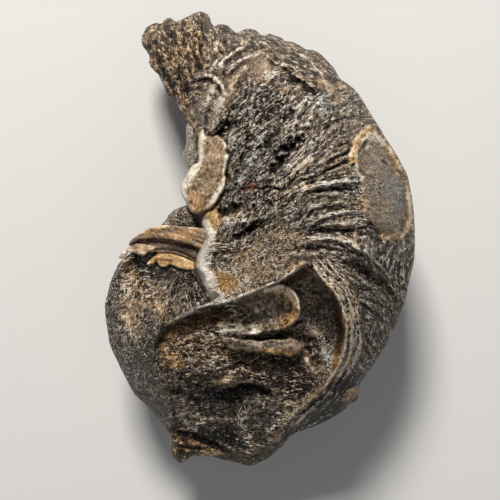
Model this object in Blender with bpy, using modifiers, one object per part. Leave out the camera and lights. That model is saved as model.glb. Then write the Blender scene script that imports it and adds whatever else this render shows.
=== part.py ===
"""Fossil oyster shell, an old individual cemented to one stone, lying on its convex flank.

The whole specimen is one solid. It is drawn in plan, looking down on the exposed side: X runs to
the right, Y towards the narrow tip, and heights are measured up from the table. Every sheet of the
specimen (the main shell, the loose lamellae, the clear calcite) is a lens between two height
fields over its own outline. The lenses are joined and resurfaced as one body, which is then
turned so that its long axis lies along Y and is cut flat where it rests.
"""

import math
from collections import namedtuple

import bmesh
import bpy
import numpy as np
from mathutils import Matrix, Vector

MM = 0.001

# Driving dimensions, in millimetres.
LENGTH = 73.0
WIDTH = 47.0
THICKNESS = 39.0

# The plan is drawn as seen from SIGHT above the waist, so it draws in towards the top.
SIGHT = 160.0
WAIST = 20.0
LEAN = math.radians(8.0)

# How finely it is made: spacing of the drawn surfaces' nodes, how much of that they keep clear of
# the outline, voxels and smoothing of the skin, and its triangles.
GRID = 0.4
CLEAR_OF_OUTLINE = 0.2
SAME_PLACE = 1e-5
SKIN_VOXEL = 0.45
SKIN_SMOOTHING = 3
SKIN_EASE = 0.5
MOST_TRIANGLES = 9800

STONE_COLOUR = (0.105, 0.085, 0.068, 1.0)
STONE_ROUGHNESS = 0.55

# Outline of the main shell in plan, clockwise from the tip.
OUTLINE = [
    (-17.7, 33.4), (-17.1, 34.7), (-15.6, 35.5), (-14.0, 36.1), (-12.6, 35.6), (-10.9, 36.1),
    (-9.5, 36.7), (-7.8, 37.2), (-6.7, 35.6), (-5.8, 34.8), (-4.5, 35.1), (-3.4, 34.8),
    (-1.7, 34.2), (0.0, 34.2), (2.0, 33.7), (4.8, 33.1), (7.2, 32.2), (10.0, 31.1),
    (11.8, 29.9), (13.5, 28.1), (14.6, 26.4), (16.8, 24.9), (19.0, 21.8), (21.0, 18.7),
    (23.0, 15.6), (25.0, 12.4), (25.8, 10.0), (26.4, 7.0), (26.7, 3.1), (26.7, 0.0),
    (26.3, -3.1), (25.3, -7.5), (24.4, -10.1), (23.3, -12.8), (21.9, -15.4), (20.4, -17.7),
    (18.7, -19.9), (17.9, -21.1), (17.6, -23.2), (16.5, -24.1), (15.1, -25.2), (13.1, -26.4),
    (10.1, -27.7), (7.3, -28.6), (5.8, -30.0), (4.2, -31.6), (2.5, -32.7), (0.2, -33.6),
    (-2.2, -33.0), (-4.5, -32.5), (-6.8, -32.0), (-9.3, -32.2), (-11.0, -33.0), (-12.0, -32.5),
    (-12.6, -31.3), (-12.4, -30.0), (-12.8, -28.8), (-14.0, -27.1), (-15.4, -25.3), (-16.8, -23.9),
    (-18.7, -22.2), (-20.1, -19.7), (-21.6, -16.8), (-22.5, -14.8), (-23.0, -12.4), (-23.5, -8.7),
    (-23.0, -6.5), (-22.4, -4.5), (-21.0, -2.5), (-18.7, -0.9), (-15.6, 1.6), (-12.1, 4.4),
    (-9.3, 6.5), (-9.0, 9.3), (-8.9, 12.4), (-9.3, 15.6), (-10.0, 18.7), (-11.2, 21.6),
    (-12.4, 23.6), (-14.0, 25.2), (-14.9, 27.2), (-16.3, 29.2), (-16.8, 30.8), (-17.7, 32.2),
]

# Spot heights (x, y, height) of the exposed side, before its features are cut in.
FRONT_SPOTS = [
    (-15.6, 32.6, 19.5), (-9.0, 32.5, 22.0), (-8.0, 25.0, 25.5), (1.5, 29.5, 28.0), (9.0, 27.0, 29.5),
    (-2.0, 22.0, 30.5), (12.5, 21.0, 33.0), (5.0, 17.0, 34.5), (17.0, 15.0, 34.5), (-2.0, 13.0, 33.5),
    (-7.5, 9.5, 30.5), (7.8, 8.0, 38.0), (1.5, 6.0, 36.5), (15.5, 5.0, 38.2), (22.5, 8.0, 33.5),
    (22.5, -2.0, 32.5), (15.5, -3.0, 37.5), (-5.4, 0.0, 33.0), (2.0, -1.0, 35.0), (8.5, 0.5, 36.8),
    (-5.0, -6.5, 31.5), (1.5, -6.2, 33.0), (9.5, -2.3, 35.2), (15.5, -12.5, 33.0), (13.0, -21.5, 28.5),
    (6.0, -26.5, 24.5), (0.0, -31.0, 20.0), (20.0, -12.5, 31.0), (18.5, 21.0, 28.0), (24.0, -8.0, 29.0),
]
# Spot heights of the lobe, the turned-over part of the shell on the left.
LOBE_SPOTS = [
    (-8.5, 4.5, 25.0), (-13.0, 2.0, 22.5), (-9.5, 0.0, 25.0), (-15.0, -1.5, 23.5), (-19.5, -3.5, 22.5),
    (-9.0, -4.5, 27.2), (-15.5, -6.5, 26.8), (-20.5, -8.5, 24.0), (-8.5, -8.0, 29.0), (-12.5, -10.5, 28.2),
    (-18.0, -13.0, 26.2), (-15.5, -16.0, 26.6), (-19.0, -19.0, 23.5), (-14.5, -20.5, 25.5),
    (-14.0, -25.0, 22.5), (-12.5, -28.5, 20.5),
]
# Spot heights of the buried side. Those below zero are cut flat where the shell rests.
BACK_SPOTS = [
    (-15.0, 33.0, 8.5), (-5.0, 27.0, 5.5), (6.0, 22.0, 2.6), (5.0, 4.0, -1.3), (-2.0, -6.0, -0.9),
    (10.0, -8.0, -0.7), (14.0, 10.0, 1.0), (22.0, 0.0, 5.5), (-8.0, 8.0, 4.5), (-15.0, -8.0, 3.0),
    (-20.0, -12.0, 6.0), (-10.0, -22.0, 4.0), (0.0, -30.0, 7.0), (13.0, -22.0, 4.5), (18.0, 17.0, 6.0),
]
FRONT_ROUNDING = 9.0
BACK_ROUNDING = 14.0
WAIST_MIDDLE = 25.5
WAIST_DROOP = 13.5
HALF_LENGTH = 36.0
LOBE_DROOP = 5.0
HALF_WIDTH = 24.0
BORDER_BAND = 3.0

# The aperture: a thin lip runs round it, and the floor lies below.
LIP = [
    (-14.0, -12.4), (-12.1, -10.9), (-9.8, -9.6), (-7.6, -8.8), (-5.3, -8.4), (-2.8, -7.9),
    (-0.8, -7.1), (1.3, -6.2), (3.4, -5.4), (5.0, -4.7), (6.8, -3.7), (8.6, -2.4), (9.6, -2.3),
    (10.7, -3.4), (11.8, -4.8), (13.7, -6.8), (14.8, -9.2), (15.5, -11.8), (15.7, -14.2),
    (15.1, -16.9), (13.7, -19.4), (11.8, -21.9), (9.5, -23.8), (7.3, -25.5), (5.0, -28.5),
]
APERTURE = LIP + [
    (2.5, -30.2), (0.3, -31.4), (-2.2, -31.1), (-5.6, -30.5), (-8.4, -29.5), (-10.6, -28.3),
    (-12.1, -26.1), (-11.5, -23.3), (-12.8, -20.8), (-14.0, -18.0), (-14.6, -15.6),
]
FLOOR_SPOTS = [
    (12.4, -7.8, 26.5), (13.2, -14.0, 25.0), (11.7, -17.9, 25.5), (7.8, -4.7, 29.5), (9.3, -12.4, 25.0),
    (0.0, -9.3, 26.5), (-7.8, -11.7, 26.5), (-11.7, -14.0, 26.0), (-7.8, -15.6, 27.0), (-3.1, -14.8, 25.5),
    (1.6, -14.8, 24.8), (-12.4, -18.7, 26.0), (-4.7, -18.7, 25.8), (3.1, -18.7, 24.4), (7.8, -18.7, 24.2),
    (9.3, -21.0, 23.5), (-9.3, -23.3, 21.5), (-1.6, -22.5, 19.8), (0.8, -24.9, 21.4), (0.0, -27.2, 20.0),
    (-4.7, -28.8, 17.4), (1.6, -29.5, 18.4), (-9.3, -27.2, 20.4), (-10.9, -29.5, 19.5), (6.2, -23.3, 22.6),
]
LIP_RISE = 0.9
LIP_WIDTH = 0.8
FLOOR_REACH = 1.1

# A spoon-shaped inner plate and a narrow ledge stand out of the aperture's floor.
SPOON = [
    (-4.2, -12.4), (-3.7, -10.6), (-2.2, -8.6), (-0.3, -7.5), (1.8, -6.5), (3.4, -5.8), (5.0, -5.4),
    (6.4, -5.9), (7.5, -7.3), (8.2, -8.7), (8.1, -10.3), (7.3, -11.4), (5.0, -12.4), (2.6, -13.2),
    (0.5, -13.5), (-1.9, -13.2),
]
SPOON_RISE = 3.0
SPOON_RIM = 0.5
SPOON_HOLLOW = 1.6
SPOON_SLOPE = 1.2
LEDGE = [
    (-4.7, -14.5), (-3.1, -14.0), (-0.8, -14.1), (1.9, -14.2), (4.7, -14.1), (7.0, -14.3),
    (8.4, -14.9), (8.6, -16.3), (6.2, -16.5), (3.1, -16.3), (0.0, -16.0), (-2.3, -15.9), (-4.0, -15.4),
]
LEDGE_RISE = 1.9
RIB = [
    (-12.1, -20.7), (-9.3, -21.5), (-7.0, -21.6), (-4.8, -21.1), (-1.9, -20.2), (0.5, -20.0), (2.6, -20.8),
]
RIB_RISE = 1.1
RIB_WIDTH = 1.0
BASE_LIP = [
    (-13.2, -28.0), (-12.3, -31.6), (-9.4, -31.6), (-6.8, -31.2), (-3.7, -31.4), (0.3, -32.6), (3.0, -31.2),
]
BASE_LIP_RISE = 1.7

# The outer layer is broken off along two arches near the tip. The surface drops on the right-hand
# side of each path, by drop, and comes back over reach.
ARCH = [
    (-5.2, 25.6), (-4.7, 26.8), (-3.1, 28.0), (-1.2, 29.5), (0.9, 30.7), (2.5, 31.0), (3.3, 29.4),
    (4.7, 28.7), (5.8, 27.9), (7.8, 26.5), (9.2, 25.5), (10.6, 24.4), (12.4, 22.9),
]
ARCH_DROP = 2.6
ARCH_REACH = 4.0
EAR = [
    (-10.6, 26.6), (-9.5, 27.3), (-8.1, 27.5), (-6.7, 27.3), (-5.3, 26.2), (-4.2, 24.7), (-3.2, 22.6),
    (-2.8, 20.6),
]
EAR_DROP = 1.3
EAR_REACH = 2.2
EDGE_WIDTH = 0.9
EDGE_TAPER = 0.14
FLAP = [
    (-9.3, 26.4), (-7.8, 27.1), (-6.1, 26.6), (-4.7, 25.0), (-3.7, 22.7), (-3.9, 20.5), (-4.8, 18.8),
    (-6.1, 17.7), (-7.5, 18.7), (-8.2, 20.5), (-9.0, 23.3),
]
FLAP_RISE = 1.3

# The pale hinge band, and the part of the plan that the lobe takes up on its left.
HINGE_BAND = [
    (-6.1, 5.8), (-6.4, 3.7), (-6.7, 1.6), (-7.6, -0.3), (-7.9, -2.2), (-7.2, -4.0), (-6.1, -6.2),
    (-4.6, -7.4),
]
HINGE_RISE = 1.2
HINGE_WIDTH = 1.1
LOBE_SIDE = [(x - HINGE_WIDTH, y) for x, y in HINGE_BAND] + [
    (-9.8, -9.4), (-14.0, -12.6), (-14.8, -16.0), (-13.2, -21.0), (-12.0, -26.0), (-13.0, -36.0),
    (-32.0, -34.0), (-32.0, 6.0), (-12.0, 8.0), (-8.4, 7.4),
]
LOBE_EDGE = 1.6

# The scale left of an outer layer on the right flank.
SCALE = [
    (16.3, 13.5), (16.9, 15.6), (17.9, 17.1), (19.0, 18.7), (20.2, 17.9), (21.5, 16.8), (22.7, 15.2),
    (23.9, 13.5), (25.0, 11.7), (25.8, 9.6), (26.3, 7.3), (26.0, 5.0), (25.3, 3.1), (24.1, 2.2),
    (22.9, 1.9), (21.5, 2.6), (19.9, 3.7), (18.7, 5.4), (18.0, 7.8), (18.0, 9.8), (17.7, 12.1),
]
SCALE_RISE = 0.8

# Growth folds fan out from the hollow of the curve. These are the largest ones of the flank.
Fold = namedtuple("Fold", "path rise width")
FOLDS = [
    Fold([(9.5, 9.8), (12.3, 10.4), (15.2, 10.9), (17.9, 11.0)], 0.9, 0.7),
    Fold([(8.2, 8.0), (12.0, 8.6), (16.5, 9.0)], -0.5, 0.5),
    Fold([(10.0, 6.6), (13.5, 7.0), (17.5, 7.2)], 0.5, 0.6),
    Fold([(11.1, 5.1), (14.3, 5.4), (17.1, 6.1)], 0.7, 0.6),
    Fold([(10.6, 2.6), (13.2, 3.0), (16.3, 3.1), (19.0, 3.0), (21.3, 2.3)], -1.5, 1.0),
    Fold([(9.5, 2.1), (12.3, 1.7), (15.2, 1.1), (16.9, 0.2)], 0.8, 0.7),
    Fold([(17.0, 1.3), (18.7, 0.0), (20.5, -1.6)], 1.3, 1.3),
    Fold([(13.0, -0.3), (15.6, -0.3), (17.4, -1.6), (19.0, -3.1), (20.5, -4.4), (22.7, -5.9)], -1.7, 1.1),
    Fold([(16.6, -5.0), (19.1, -5.8), (21.2, -6.3), (23.0, -7.2)], 0.7, 0.8),
    Fold([(16.9, -9.3), (19.5, -9.9), (21.8, -11.6)], 0.5, 0.9),
]
FOLD_TAPER = 0.3
# Fainter ones between them are a fan of waves. It starts at a distance from its centre, over a
# width, and wavers by an angle in radians.
FAN_CENTRE = (-6.5, 4.5)
FAN_FOLDS = 34
FAN_RISE = 0.45
FAN_LEVEL = 0.5
FAN_START = 17.0
FAN_START_WIDTH = 8.0
FAN_WAVER = 0.05
FAN_WAVER_SIZE = 9.0
BACK_FAN = 1.4
# Irregular lumps are two sets of waves: direction, how far they sway, and pitch and phase of the sway.
Waves = namedtuple("Waves", "x y sway pitch phase")
LUMP_WAVES = (Waves(0.9, 0.4, 1.3, 0.7, 0.0), Waves(-0.5, 0.8, 1.1, 0.6, 2.0))
# The tip is lumpy.
TIP_LUMPS = 0.45
TIP_LUMP_SIZE = 6.0
TIP_LUMPS_FROM = 20.0
TIP_LUMPS_OVER = 10.0
# The middle is deeply weathered into short ridges that run down to the left.
WEATHERED_MIDDLE = (2.0, 11.5)
WEATHERED_REACH = (8.5, 10.5)
WEATHERED_RIDGES = 3.1
WEATHERED_RISE = 0.5
WEATHERED_TURN = math.radians(40.0)
WEATHERED_WAVER = 1.2
WEATHERED_WAVER_SIZE = 6.0
WEATHERED_LUMP_SIZE = 4.0
KNOB = [(16.8, -22.6), (17.2, -22.6)]
KNOB_RISE = 1.6
KNOB_RADIUS = 1.3

# Loose sheets. The middle is the height at the outline's centroid, and the slope goes along X and Y.
Sheet = namedtuple("Sheet", "points middle slope thickness")
SHEETS = {
    "clear_calcite": Sheet(
        [
            (-7.8, 18.8), (-8.2, 16.8), (-8.6, 14.6), (-9.5, 13.2), (-10.4, 11.8), (-11.2, 10.0),
            (-11.1, 8.6), (-10.3, 7.3), (-9.3, 5.9), (-8.1, 5.6), (-6.7, 6.2), (-5.3, 7.3), (-4.5, 8.6),
            (-4.0, 10.7), (-4.0, 13.4), (-3.5, 15.0), (-3.3, 16.4), (-4.0, 17.6), (-6.5, 18.2),
        ],
        27.6, (0.75, -0.1), 6.0,
    ),
    "grey_film": Sheet(
        [
            (-10.3, 20.2), (-10.6, 18.3), (-10.4, 16.8), (-10.9, 15.2), (-10.7, 13.8), (-10.0, 12.8),
            (-8.0, 12.0), (-6.6, 14.6), (-6.6, 18.8), (-8.0, 20.6),
        ],
        22.5, (0.3, 0.0), 2.2,
    ),
    "upper_lamella": Sheet(
        [
            (-19.3, 1.4), (-18.5, 2.3), (-17.5, 2.9), (-15.8, 3.6), (-14.1, 4.0), (-13.8, 4.8),
            (-13.2, 5.8), (-11.8, 6.5), (-10.7, 7.3), (-9.3, 7.0), (-6.8, 6.5), (-5.4, 3.9), (-5.8, 0.6),
            (-8.0, 0.3), (-9.7, 1.0), (-11.0, 1.4), (-12.4, 1.9), (-14.1, 2.3), (-16.1, 2.1), (-17.8, 1.9),
        ],
        27.4, (0.34, -0.25), 1.5,
    ),
    "middle_lamella": Sheet(
        [
            (-21.3, -0.6), (-20.7, 0.0), (-20.0, 0.3), (-19.3, 1.1), (-17.7, 2.4), (-16.0, 3.0),
            (-14.0, 3.0), (-12.3, 2.6), (-10.9, 2.0), (-6.4, 1.2), (-6.4, -1.3), (-8.4, -1.6),
            (-10.1, -1.2), (-12.1, -0.4), (-14.0, -0.2), (-15.6, -0.6), (-16.3, -0.1), (-17.6, -0.7),
            (-18.7, -0.5), (-19.7, -0.3), (-20.7, -1.1),
        ],
        26.0, (0.26, -0.2), 1.4,
    ),
    "lower_lamella": Sheet(
        [
            (-16.5, -1.3), (-15.6, 0.2), (-14.3, 0.9), (-13.1, 1.2), (-11.4, 0.9), (-10.0, 0.5),
            (-6.4, 0.0), (-6.4, -3.1), (-8.4, -3.0), (-10.3, -3.0), (-11.7, -2.3), (-12.8, -2.0),
            (-13.4, -2.3), (-14.5, -2.4), (-14.9, -2.0), (-15.8, -1.7), (-16.6, -2.2),
        ],
        25.6, (0.22, -0.28), 1.4,
    ),
}
SHEET_ROUNDING = 0.8


def clear_scene():
    for thing in list(bpy.data.objects):
        bpy.data.objects.remove(thing)


def smooth_loop(points, per_span=4, closed=True):
    """Points of a Catmull-Rom curve through the drawn points."""
    p = np.array(points, float)
    if closed:
        ring = np.vstack([p[-1], p, p[0], p[1]])
    else:
        ring = np.vstack([2 * p[0] - p[1], p, 2 * p[-1] - p[-2]])
    made = []
    for i in range(1, len(ring) - 2):
        a, b, c, d = ring[i - 1 : i + 3]
        for t in np.arange(per_span) / per_span:
            bends = (2 * a - 5 * b + 4 * c - d) * t**2 + (3 * b - a - 3 * c + d) * t**3
            made.append(0.5 * (2 * b + (c - a) * t + bends))
    if not closed:
        made.append(ring[-2])
    return np.array(made)


def nearest_on(path, x, y, closed):
    """Distance from each (x, y) to the path, and the nearest point on it."""
    ends = np.vstack([path, path[:1]]) if closed else path
    best = np.full(x.shape, np.inf)
    near = np.zeros(x.shape + (2,))
    for (ax, ay), (bx, by) in zip(ends[:-1], ends[1:]):
        dx, dy = bx - ax, by - ay
        t = np.clip(((x - ax) * dx + (y - ay) * dy) / max(dx * dx + dy * dy, 1e-12), 0, 1)
        px, py = ax + t * dx, ay + t * dy
        gap = (x - px) ** 2 + (y - py) ** 2
        closer = gap < best
        best[closer] = gap[closer]
        near[closer, 0] = px[closer]
        near[closer, 1] = py[closer]
    return np.sqrt(best), near


def along(path, x, y):
    """Distance from each (x, y) to an open path, positive on the path's right-hand side, and how
    far along the path the nearest point is, from 0 to 1."""
    curve = smooth_loop(path, closed=False)
    best = np.full(x.shape, np.inf)
    side = np.zeros(x.shape)
    place_along = np.zeros(x.shape)
    lengths = np.hypot(*np.diff(curve, axis=0).T)
    start = 0.0
    for (ax, ay), (bx, by), length in zip(curve[:-1], curve[1:], lengths):
        dx, dy = bx - ax, by - ay
        t = np.clip(((x - ax) * dx + (y - ay) * dy) / (length * length), 0, 1)
        gap = np.hypot(x - ax - t * dx, y - ay - t * dy)
        closer = gap < best
        best[closer] = gap[closer]
        side[closer] = np.sign((x - ax) * dy - (y - ay) * dx)[closer]
        place_along[closer] = (start + t * length)[closer]
        start += length
    return best * side, place_along / start


def is_inside(loop, x, y):
    """Even-odd test of each (x, y) against a closed loop."""
    inside = np.zeros(x.shape, bool)
    for (ax, ay), (bx, by) in zip(loop, np.roll(loop, -1, axis=0)):
        crosses = (ay > y) != (by > y)
        if ay != by:
            inside ^= crosses & (x < (bx - ax) * (y - ay) / (by - ay) + ax)
    return inside


def depth_inside(points, x, y):
    """Distance in from a drawn outline: positive inside, negative outside."""
    loop = smooth_loop(points)
    gap, _ = nearest_on(loop, x, y, closed=True)
    return np.where(is_inside(loop, x, y), gap, -gap)


def spot_surface(spots):
    """The smooth thin-plate surface through (x, y, height) spots, as a function of (x, y)."""
    p = np.array(spots, float)
    flat = np.column_stack([np.ones(len(p)), p[:, :2]])

    def bend(r2):
        return 0.5 * r2 * np.log(r2 + 1e-9)

    r2 = ((p[:, None, :2] - p[None, :, :2]) ** 2).sum(-1)
    left = np.block([[bend(r2), flat], [flat.T, np.zeros((3, 3))]])
    weights = np.linalg.solve(left, np.concatenate([p[:, 2], np.zeros(3)]))

    def height(x, y):
        z = weights[-3] + weights[-2] * x + weights[-1] * y
        for w, (sx, sy) in zip(weights, p[:, :2]):
            z = z + w * bend((x - sx) ** 2 + (y - sy) ** 2)
        return z

    return height


def quarter_round(d, radius):
    """0 at an edge, rising as a quarter circle to 1 at radius from it."""
    return np.sqrt(1 - (1 - np.clip(d / radius, 0, 1)) ** 2)


def ridge(x, y, path, rise, width, taper=0.0):
    """A rounded ridge of the given rise and half width along a path. It runs out over the given
    share of its length at both ends."""
    gap, t = along(path, x, y)
    ends = np.clip(np.minimum(t, 1 - t) / max(taper, 1e-6), 0, 1)
    return rise * (ends if taper else 1.0) * np.exp(-((gap / width) ** 2))


def soft_step(d, width):
    """0 outside an edge, 1 inside it, over the given width."""
    t = np.clip(d / width + 0.5, 0, 1)
    return t * t * (3 - 2 * t)


def scarp(x, y, path, drop, reach):
    """A broken layer's edge: the surface falls by drop on the path's right-hand side and comes
    back over reach. It runs out at both ends of the path."""
    side, t = along(path, x, y)
    ends = soft_step(np.minimum(t, 1 - t) / EDGE_TAPER - 0.5, 1.0)
    return -drop * ends * soft_step(side, EDGE_WIDTH) * np.exp(-np.clip(side, 0, None) / reach)


def waist_height(x, y):
    """Height of the line where the exposed side meets the buried one. It droops towards both ends
    and towards the lobe."""
    left = np.clip(-x / HALF_WIDTH, 0, 1)
    return WAIST_MIDDLE - WAIST_DROOP * (y / HALF_LENGTH) ** 2 - LOBE_DROOP * left**2


def lumps(x, y, size):
    """Gentle irregular lumps about size across, between -1 and 1."""
    k = 2 * math.pi / size
    one, other = LUMP_WAVES
    one_way = np.sin(k * (one.x * x + one.y * y) + one.sway * np.sin(one.pitch * k * y + one.phase))
    other_way = np.sin(
        k * (other.x * x + other.y * y) + other.sway * np.sin(other.pitch * k * x + other.phase)
    )
    return one_way * other_way


def fan_folds(x, y):
    """Growth folds that fan out from the hollow of the curve, strongest on the right flank."""
    dx, dy = x - FAN_CENTRE[0], y - FAN_CENTRE[1]
    turn = np.arctan2(dy, dx) + FAN_WAVER * lumps(x, y, FAN_WAVER_SIZE)
    flank = soft_step(np.hypot(dx, dy) - FAN_START, FAN_START_WIDTH)
    return FAN_RISE * flank * (np.abs(np.sin(turn * FAN_FOLDS / 2)) - FAN_LEVEL)


def weathered(x, y):
    """Short ridges and pits over the weathered middle."""
    dx, dy = x - WEATHERED_MIDDLE[0], y - WEATHERED_MIDDLE[1]
    share = np.exp(-((dx / WEATHERED_REACH[0]) ** 2) - (dy / WEATHERED_REACH[1]) ** 2)
    across = dx * math.sin(WEATHERED_TURN) - dy * math.cos(WEATHERED_TURN)
    across = across + WEATHERED_WAVER * lumps(x, y, WEATHERED_WAVER_SIZE)
    ridges = np.cos(2 * math.pi * across / WEATHERED_RIDGES)
    return WEATHERED_RISE * share * (ridges + lumps(x, y, WEATHERED_LUMP_SIZE))


def aperture_floor(x, y):
    """Height of the aperture's floor, with the spoon, the ledge and the rib that stand out of it."""
    z = spot_surface(FLOOR_SPOTS)(x, y)
    spoon = depth_inside(SPOON, x, y)
    hollow = SPOON_HOLLOW * (1 - np.exp(-np.clip(spoon - SPOON_RIM, 0, None) / SPOON_SLOPE))
    z = z + soft_step(spoon, EDGE_WIDTH) * (SPOON_RISE - hollow)
    z = z + LEDGE_RISE * soft_step(depth_inside(LEDGE, x, y), EDGE_WIDTH)
    z = z + ridge(x, y, RIB, RIB_RISE, RIB_WIDTH)
    return z


def front_height(x, y, d):
    """Height of the exposed side at plan point (x, y), d inside the outline."""
    z = spot_surface(FRONT_SPOTS)(x, y)
    z = z + fan_folds(x, y) + weathered(x, y)
    z = z + TIP_LUMPS * lumps(x, y, TIP_LUMP_SIZE) * soft_step(y - TIP_LUMPS_FROM, TIP_LUMPS_OVER)
    for fold in FOLDS:
        z = z + ridge(x, y, fold.path, fold.rise, fold.width, FOLD_TAPER)
    z = z + scarp(x, y, ARCH, ARCH_DROP, ARCH_REACH) + scarp(x, y, EAR, EAR_DROP, EAR_REACH)
    z = z + FLAP_RISE * soft_step(depth_inside(FLAP, x, y), EDGE_WIDTH)
    z = z + SCALE_RISE * soft_step(depth_inside(SCALE, x, y), EDGE_WIDTH)
    on_lobe = soft_step(depth_inside(LOBE_SIDE, x, y), LOBE_EDGE)
    z = z * (1 - on_lobe) + spot_surface(LOBE_SPOTS)(x, y) * on_lobe
    z = z + ridge(x, y, HINGE_BAND, HINGE_RISE, HINGE_WIDTH)
    z = z + ridge(x, y, KNOB, KNOB_RISE, KNOB_RADIUS)
    aperture = depth_inside(APERTURE, x, y)
    sunk = 1 - np.exp(-np.clip(aperture, 0, None) / FLOOR_REACH)
    z = z * (1 - sunk) + aperture_floor(x, y) * sunk
    z = z + ridge(x, y, LIP, LIP_RISE, LIP_WIDTH) + ridge(x, y, BASE_LIP, BASE_LIP_RISE, LIP_WIDTH)
    waist = waist_height(x, y)
    return waist + (z - waist) * quarter_round(d, FRONT_ROUNDING)


def back_height(x, y, d):
    """Height of the buried side: a smooth convex flank with its own growth folds."""
    waist = waist_height(x, y)
    z = spot_surface(BACK_SPOTS)(x, y) - BACK_FAN * fan_folds(x, y)
    return waist + (z - waist) * quarter_round(d, BACK_ROUNDING)


def sheet_heights(sheet):
    """Top and bottom height functions of a loose sheet, tilted about its middle."""
    cx, cy = np.mean(sheet.points, axis=0)

    def plane(x, y):
        return sheet.middle + sheet.slope[0] * (x - cx) + sheet.slope[1] * (y - cy)

    def top(x, y, d):
        return plane(x, y) + sheet.thickness / 2 * quarter_round(d, SHEET_ROUNDING)

    def bottom(x, y, d):
        return plane(x, y) - sheet.thickness / 2 * quarter_round(d, SHEET_ROUNDING)

    return top, bottom


def lens(bm, points, top, bottom, grid, band):
    """Adds a closed sheet between two height fields over an outline. The grid's nodes crowd
    towards the outline within band of it, so that the rounded edge keeps its shape."""
    loop = smooth_loop(points)
    low, high = loop.min(axis=0) - grid, loop.max(axis=0) + 2 * grid
    x, y = np.meshgrid(np.arange(low[0], high[0], grid), np.arange(low[1], high[1], grid), indexing="ij")
    d, near = nearest_on(loop, x, y, closed=True)
    inside = is_inside(loop, x, y) & (d > CLEAR_OF_OUTLINE * grid)
    pull = np.where(inside, np.clip(d / band, 0, 1), 0.0)
    x = near[..., 0] + (x - near[..., 0]) * pull
    y = near[..., 1] + (y - near[..., 1]) * pull
    d = np.where(inside, d * pull, 0.0)
    upper, lower = top(x, y, d), bottom(x, y, d)
    made = {}

    def node(i, j, side):
        key = (i, j, side if inside[i, j] else 0)
        if key not in made:
            z = upper[i, j] if side else lower[i, j]
            made[key] = bm.verts.new((x[i, j], y[i, j], z))
        return made[key]

    cells = inside[:-1, :-1] | inside[1:, :-1] | inside[1:, 1:] | inside[:-1, 1:]
    for i, j in np.argwhere(cells):
        square = [(i, j), (i + 1, j), (i + 1, j + 1), (i, j + 1)]
        bm.faces.new([node(a, b, 1) for a, b in square])
        bm.faces.new([node(a, b, 0) for a, b in reversed(square)])


def sheet_object(name, points, top, bottom, grid, band):
    """The closed sheet as an object of its own, in millimetres."""
    bm = bmesh.new()
    lens(bm, points, top, bottom, grid, band)
    bmesh.ops.remove_doubles(bm, verts=bm.verts, dist=SAME_PLACE)
    bmesh.ops.recalc_face_normals(bm, faces=bm.faces)
    mesh = bpy.data.meshes.new(name)
    bm.to_mesh(mesh)
    bm.free()
    made = bpy.data.objects.new(name, mesh)
    bpy.context.scene.collection.objects.link(made)
    return made


def apply_modifiers(thing):
    """The object's evaluated mesh in place of its mesh and modifiers."""
    graph = bpy.context.evaluated_depsgraph_get()
    mesh = bpy.data.meshes.new_from_object(thing.evaluated_get(graph))
    thing.modifiers.clear()
    thing.data = mesh


def join_and_resurface(name, sheets):
    """All sheets as one body under a single voxel skin."""
    bm = bmesh.new()
    for sheet in sheets:
        bm.from_mesh(sheet.data)
        bpy.data.objects.remove(sheet)
    mesh = bpy.data.meshes.new(name)
    bm.to_mesh(mesh)
    bm.free()
    body = bpy.data.objects.new(name, mesh)
    bpy.context.scene.collection.objects.link(body)
    skin = body.modifiers.new("skin", "REMESH")
    skin.mode = "VOXEL"
    skin.voxel_size = SKIN_VOXEL
    calm = body.modifiers.new("calm", "SMOOTH")
    calm.factor = SKIN_EASE
    calm.iterations = SKIN_SMOOTHING
    apply_modifiers(body)
    return body


def thin_out(body):
    """Fewer triangles where the surface is nearly flat."""
    triangles = sum(len(face.vertices) - 2 for face in body.data.polygons)
    thin = body.modifiers.new("thin_out", "DECIMATE")
    thin.ratio = min(1.0, MOST_TRIANGLES / triangles)
    thin.use_collapse_triangulate = True
    apply_modifiers(body)


def place(body):
    """Undoes the drawing's sight line, turns the long axis onto Y, cuts the rest flat and sizes it."""
    bm = bmesh.new()
    bm.from_mesh(body.data)
    turn = Matrix.Rotation(LEAN, 4, "Z")
    for vertex in bm.verts:
        share = 1 - (vertex.co.z - WAIST) / SIGHT
        vertex.co = turn @ Vector((vertex.co.x * share, vertex.co.y * share, vertex.co.z))
    everything = bm.verts[:] + bm.edges[:] + bm.faces[:]
    cut = bmesh.ops.bisect_plane(
        bm, geom=everything, plane_co=(0, 0, 0), plane_no=(0, 0, 1), clear_inner=True
    )
    bmesh.ops.holes_fill(bm, edges=[e for e in cut["geom_cut"] if isinstance(e, bmesh.types.BMEdge)])
    low = [min(v.co[axis] for v in bm.verts) for axis in range(3)]
    high = [max(v.co[axis] for v in bm.verts) for axis in range(3)]
    foot = Vector(((low[0] + high[0]) / 2, (low[1] + high[1]) / 2, low[2]))
    size = [MM * side / (b - a) for side, a, b in zip((WIDTH, LENGTH, THICKNESS), low, high)]
    for vertex in bm.verts:
        vertex.co = (vertex.co - foot) * Vector(size)
    bmesh.ops.triangulate(bm, faces=bm.faces)
    bmesh.ops.recalc_face_normals(bm, faces=bm.faces)
    bm.to_mesh(body.data)
    bm.free()


def stone_material():
    material = bpy.data.materials.new("fossil_shell")
    material.use_nodes = True
    surface = material.node_tree.nodes["Principled BSDF"]
    surface.inputs["Base Color"].default_value = STONE_COLOUR
    surface.inputs["Roughness"].default_value = STONE_ROUGHNESS
    surface.inputs["Metallic"].default_value = 0.0
    return material


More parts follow.
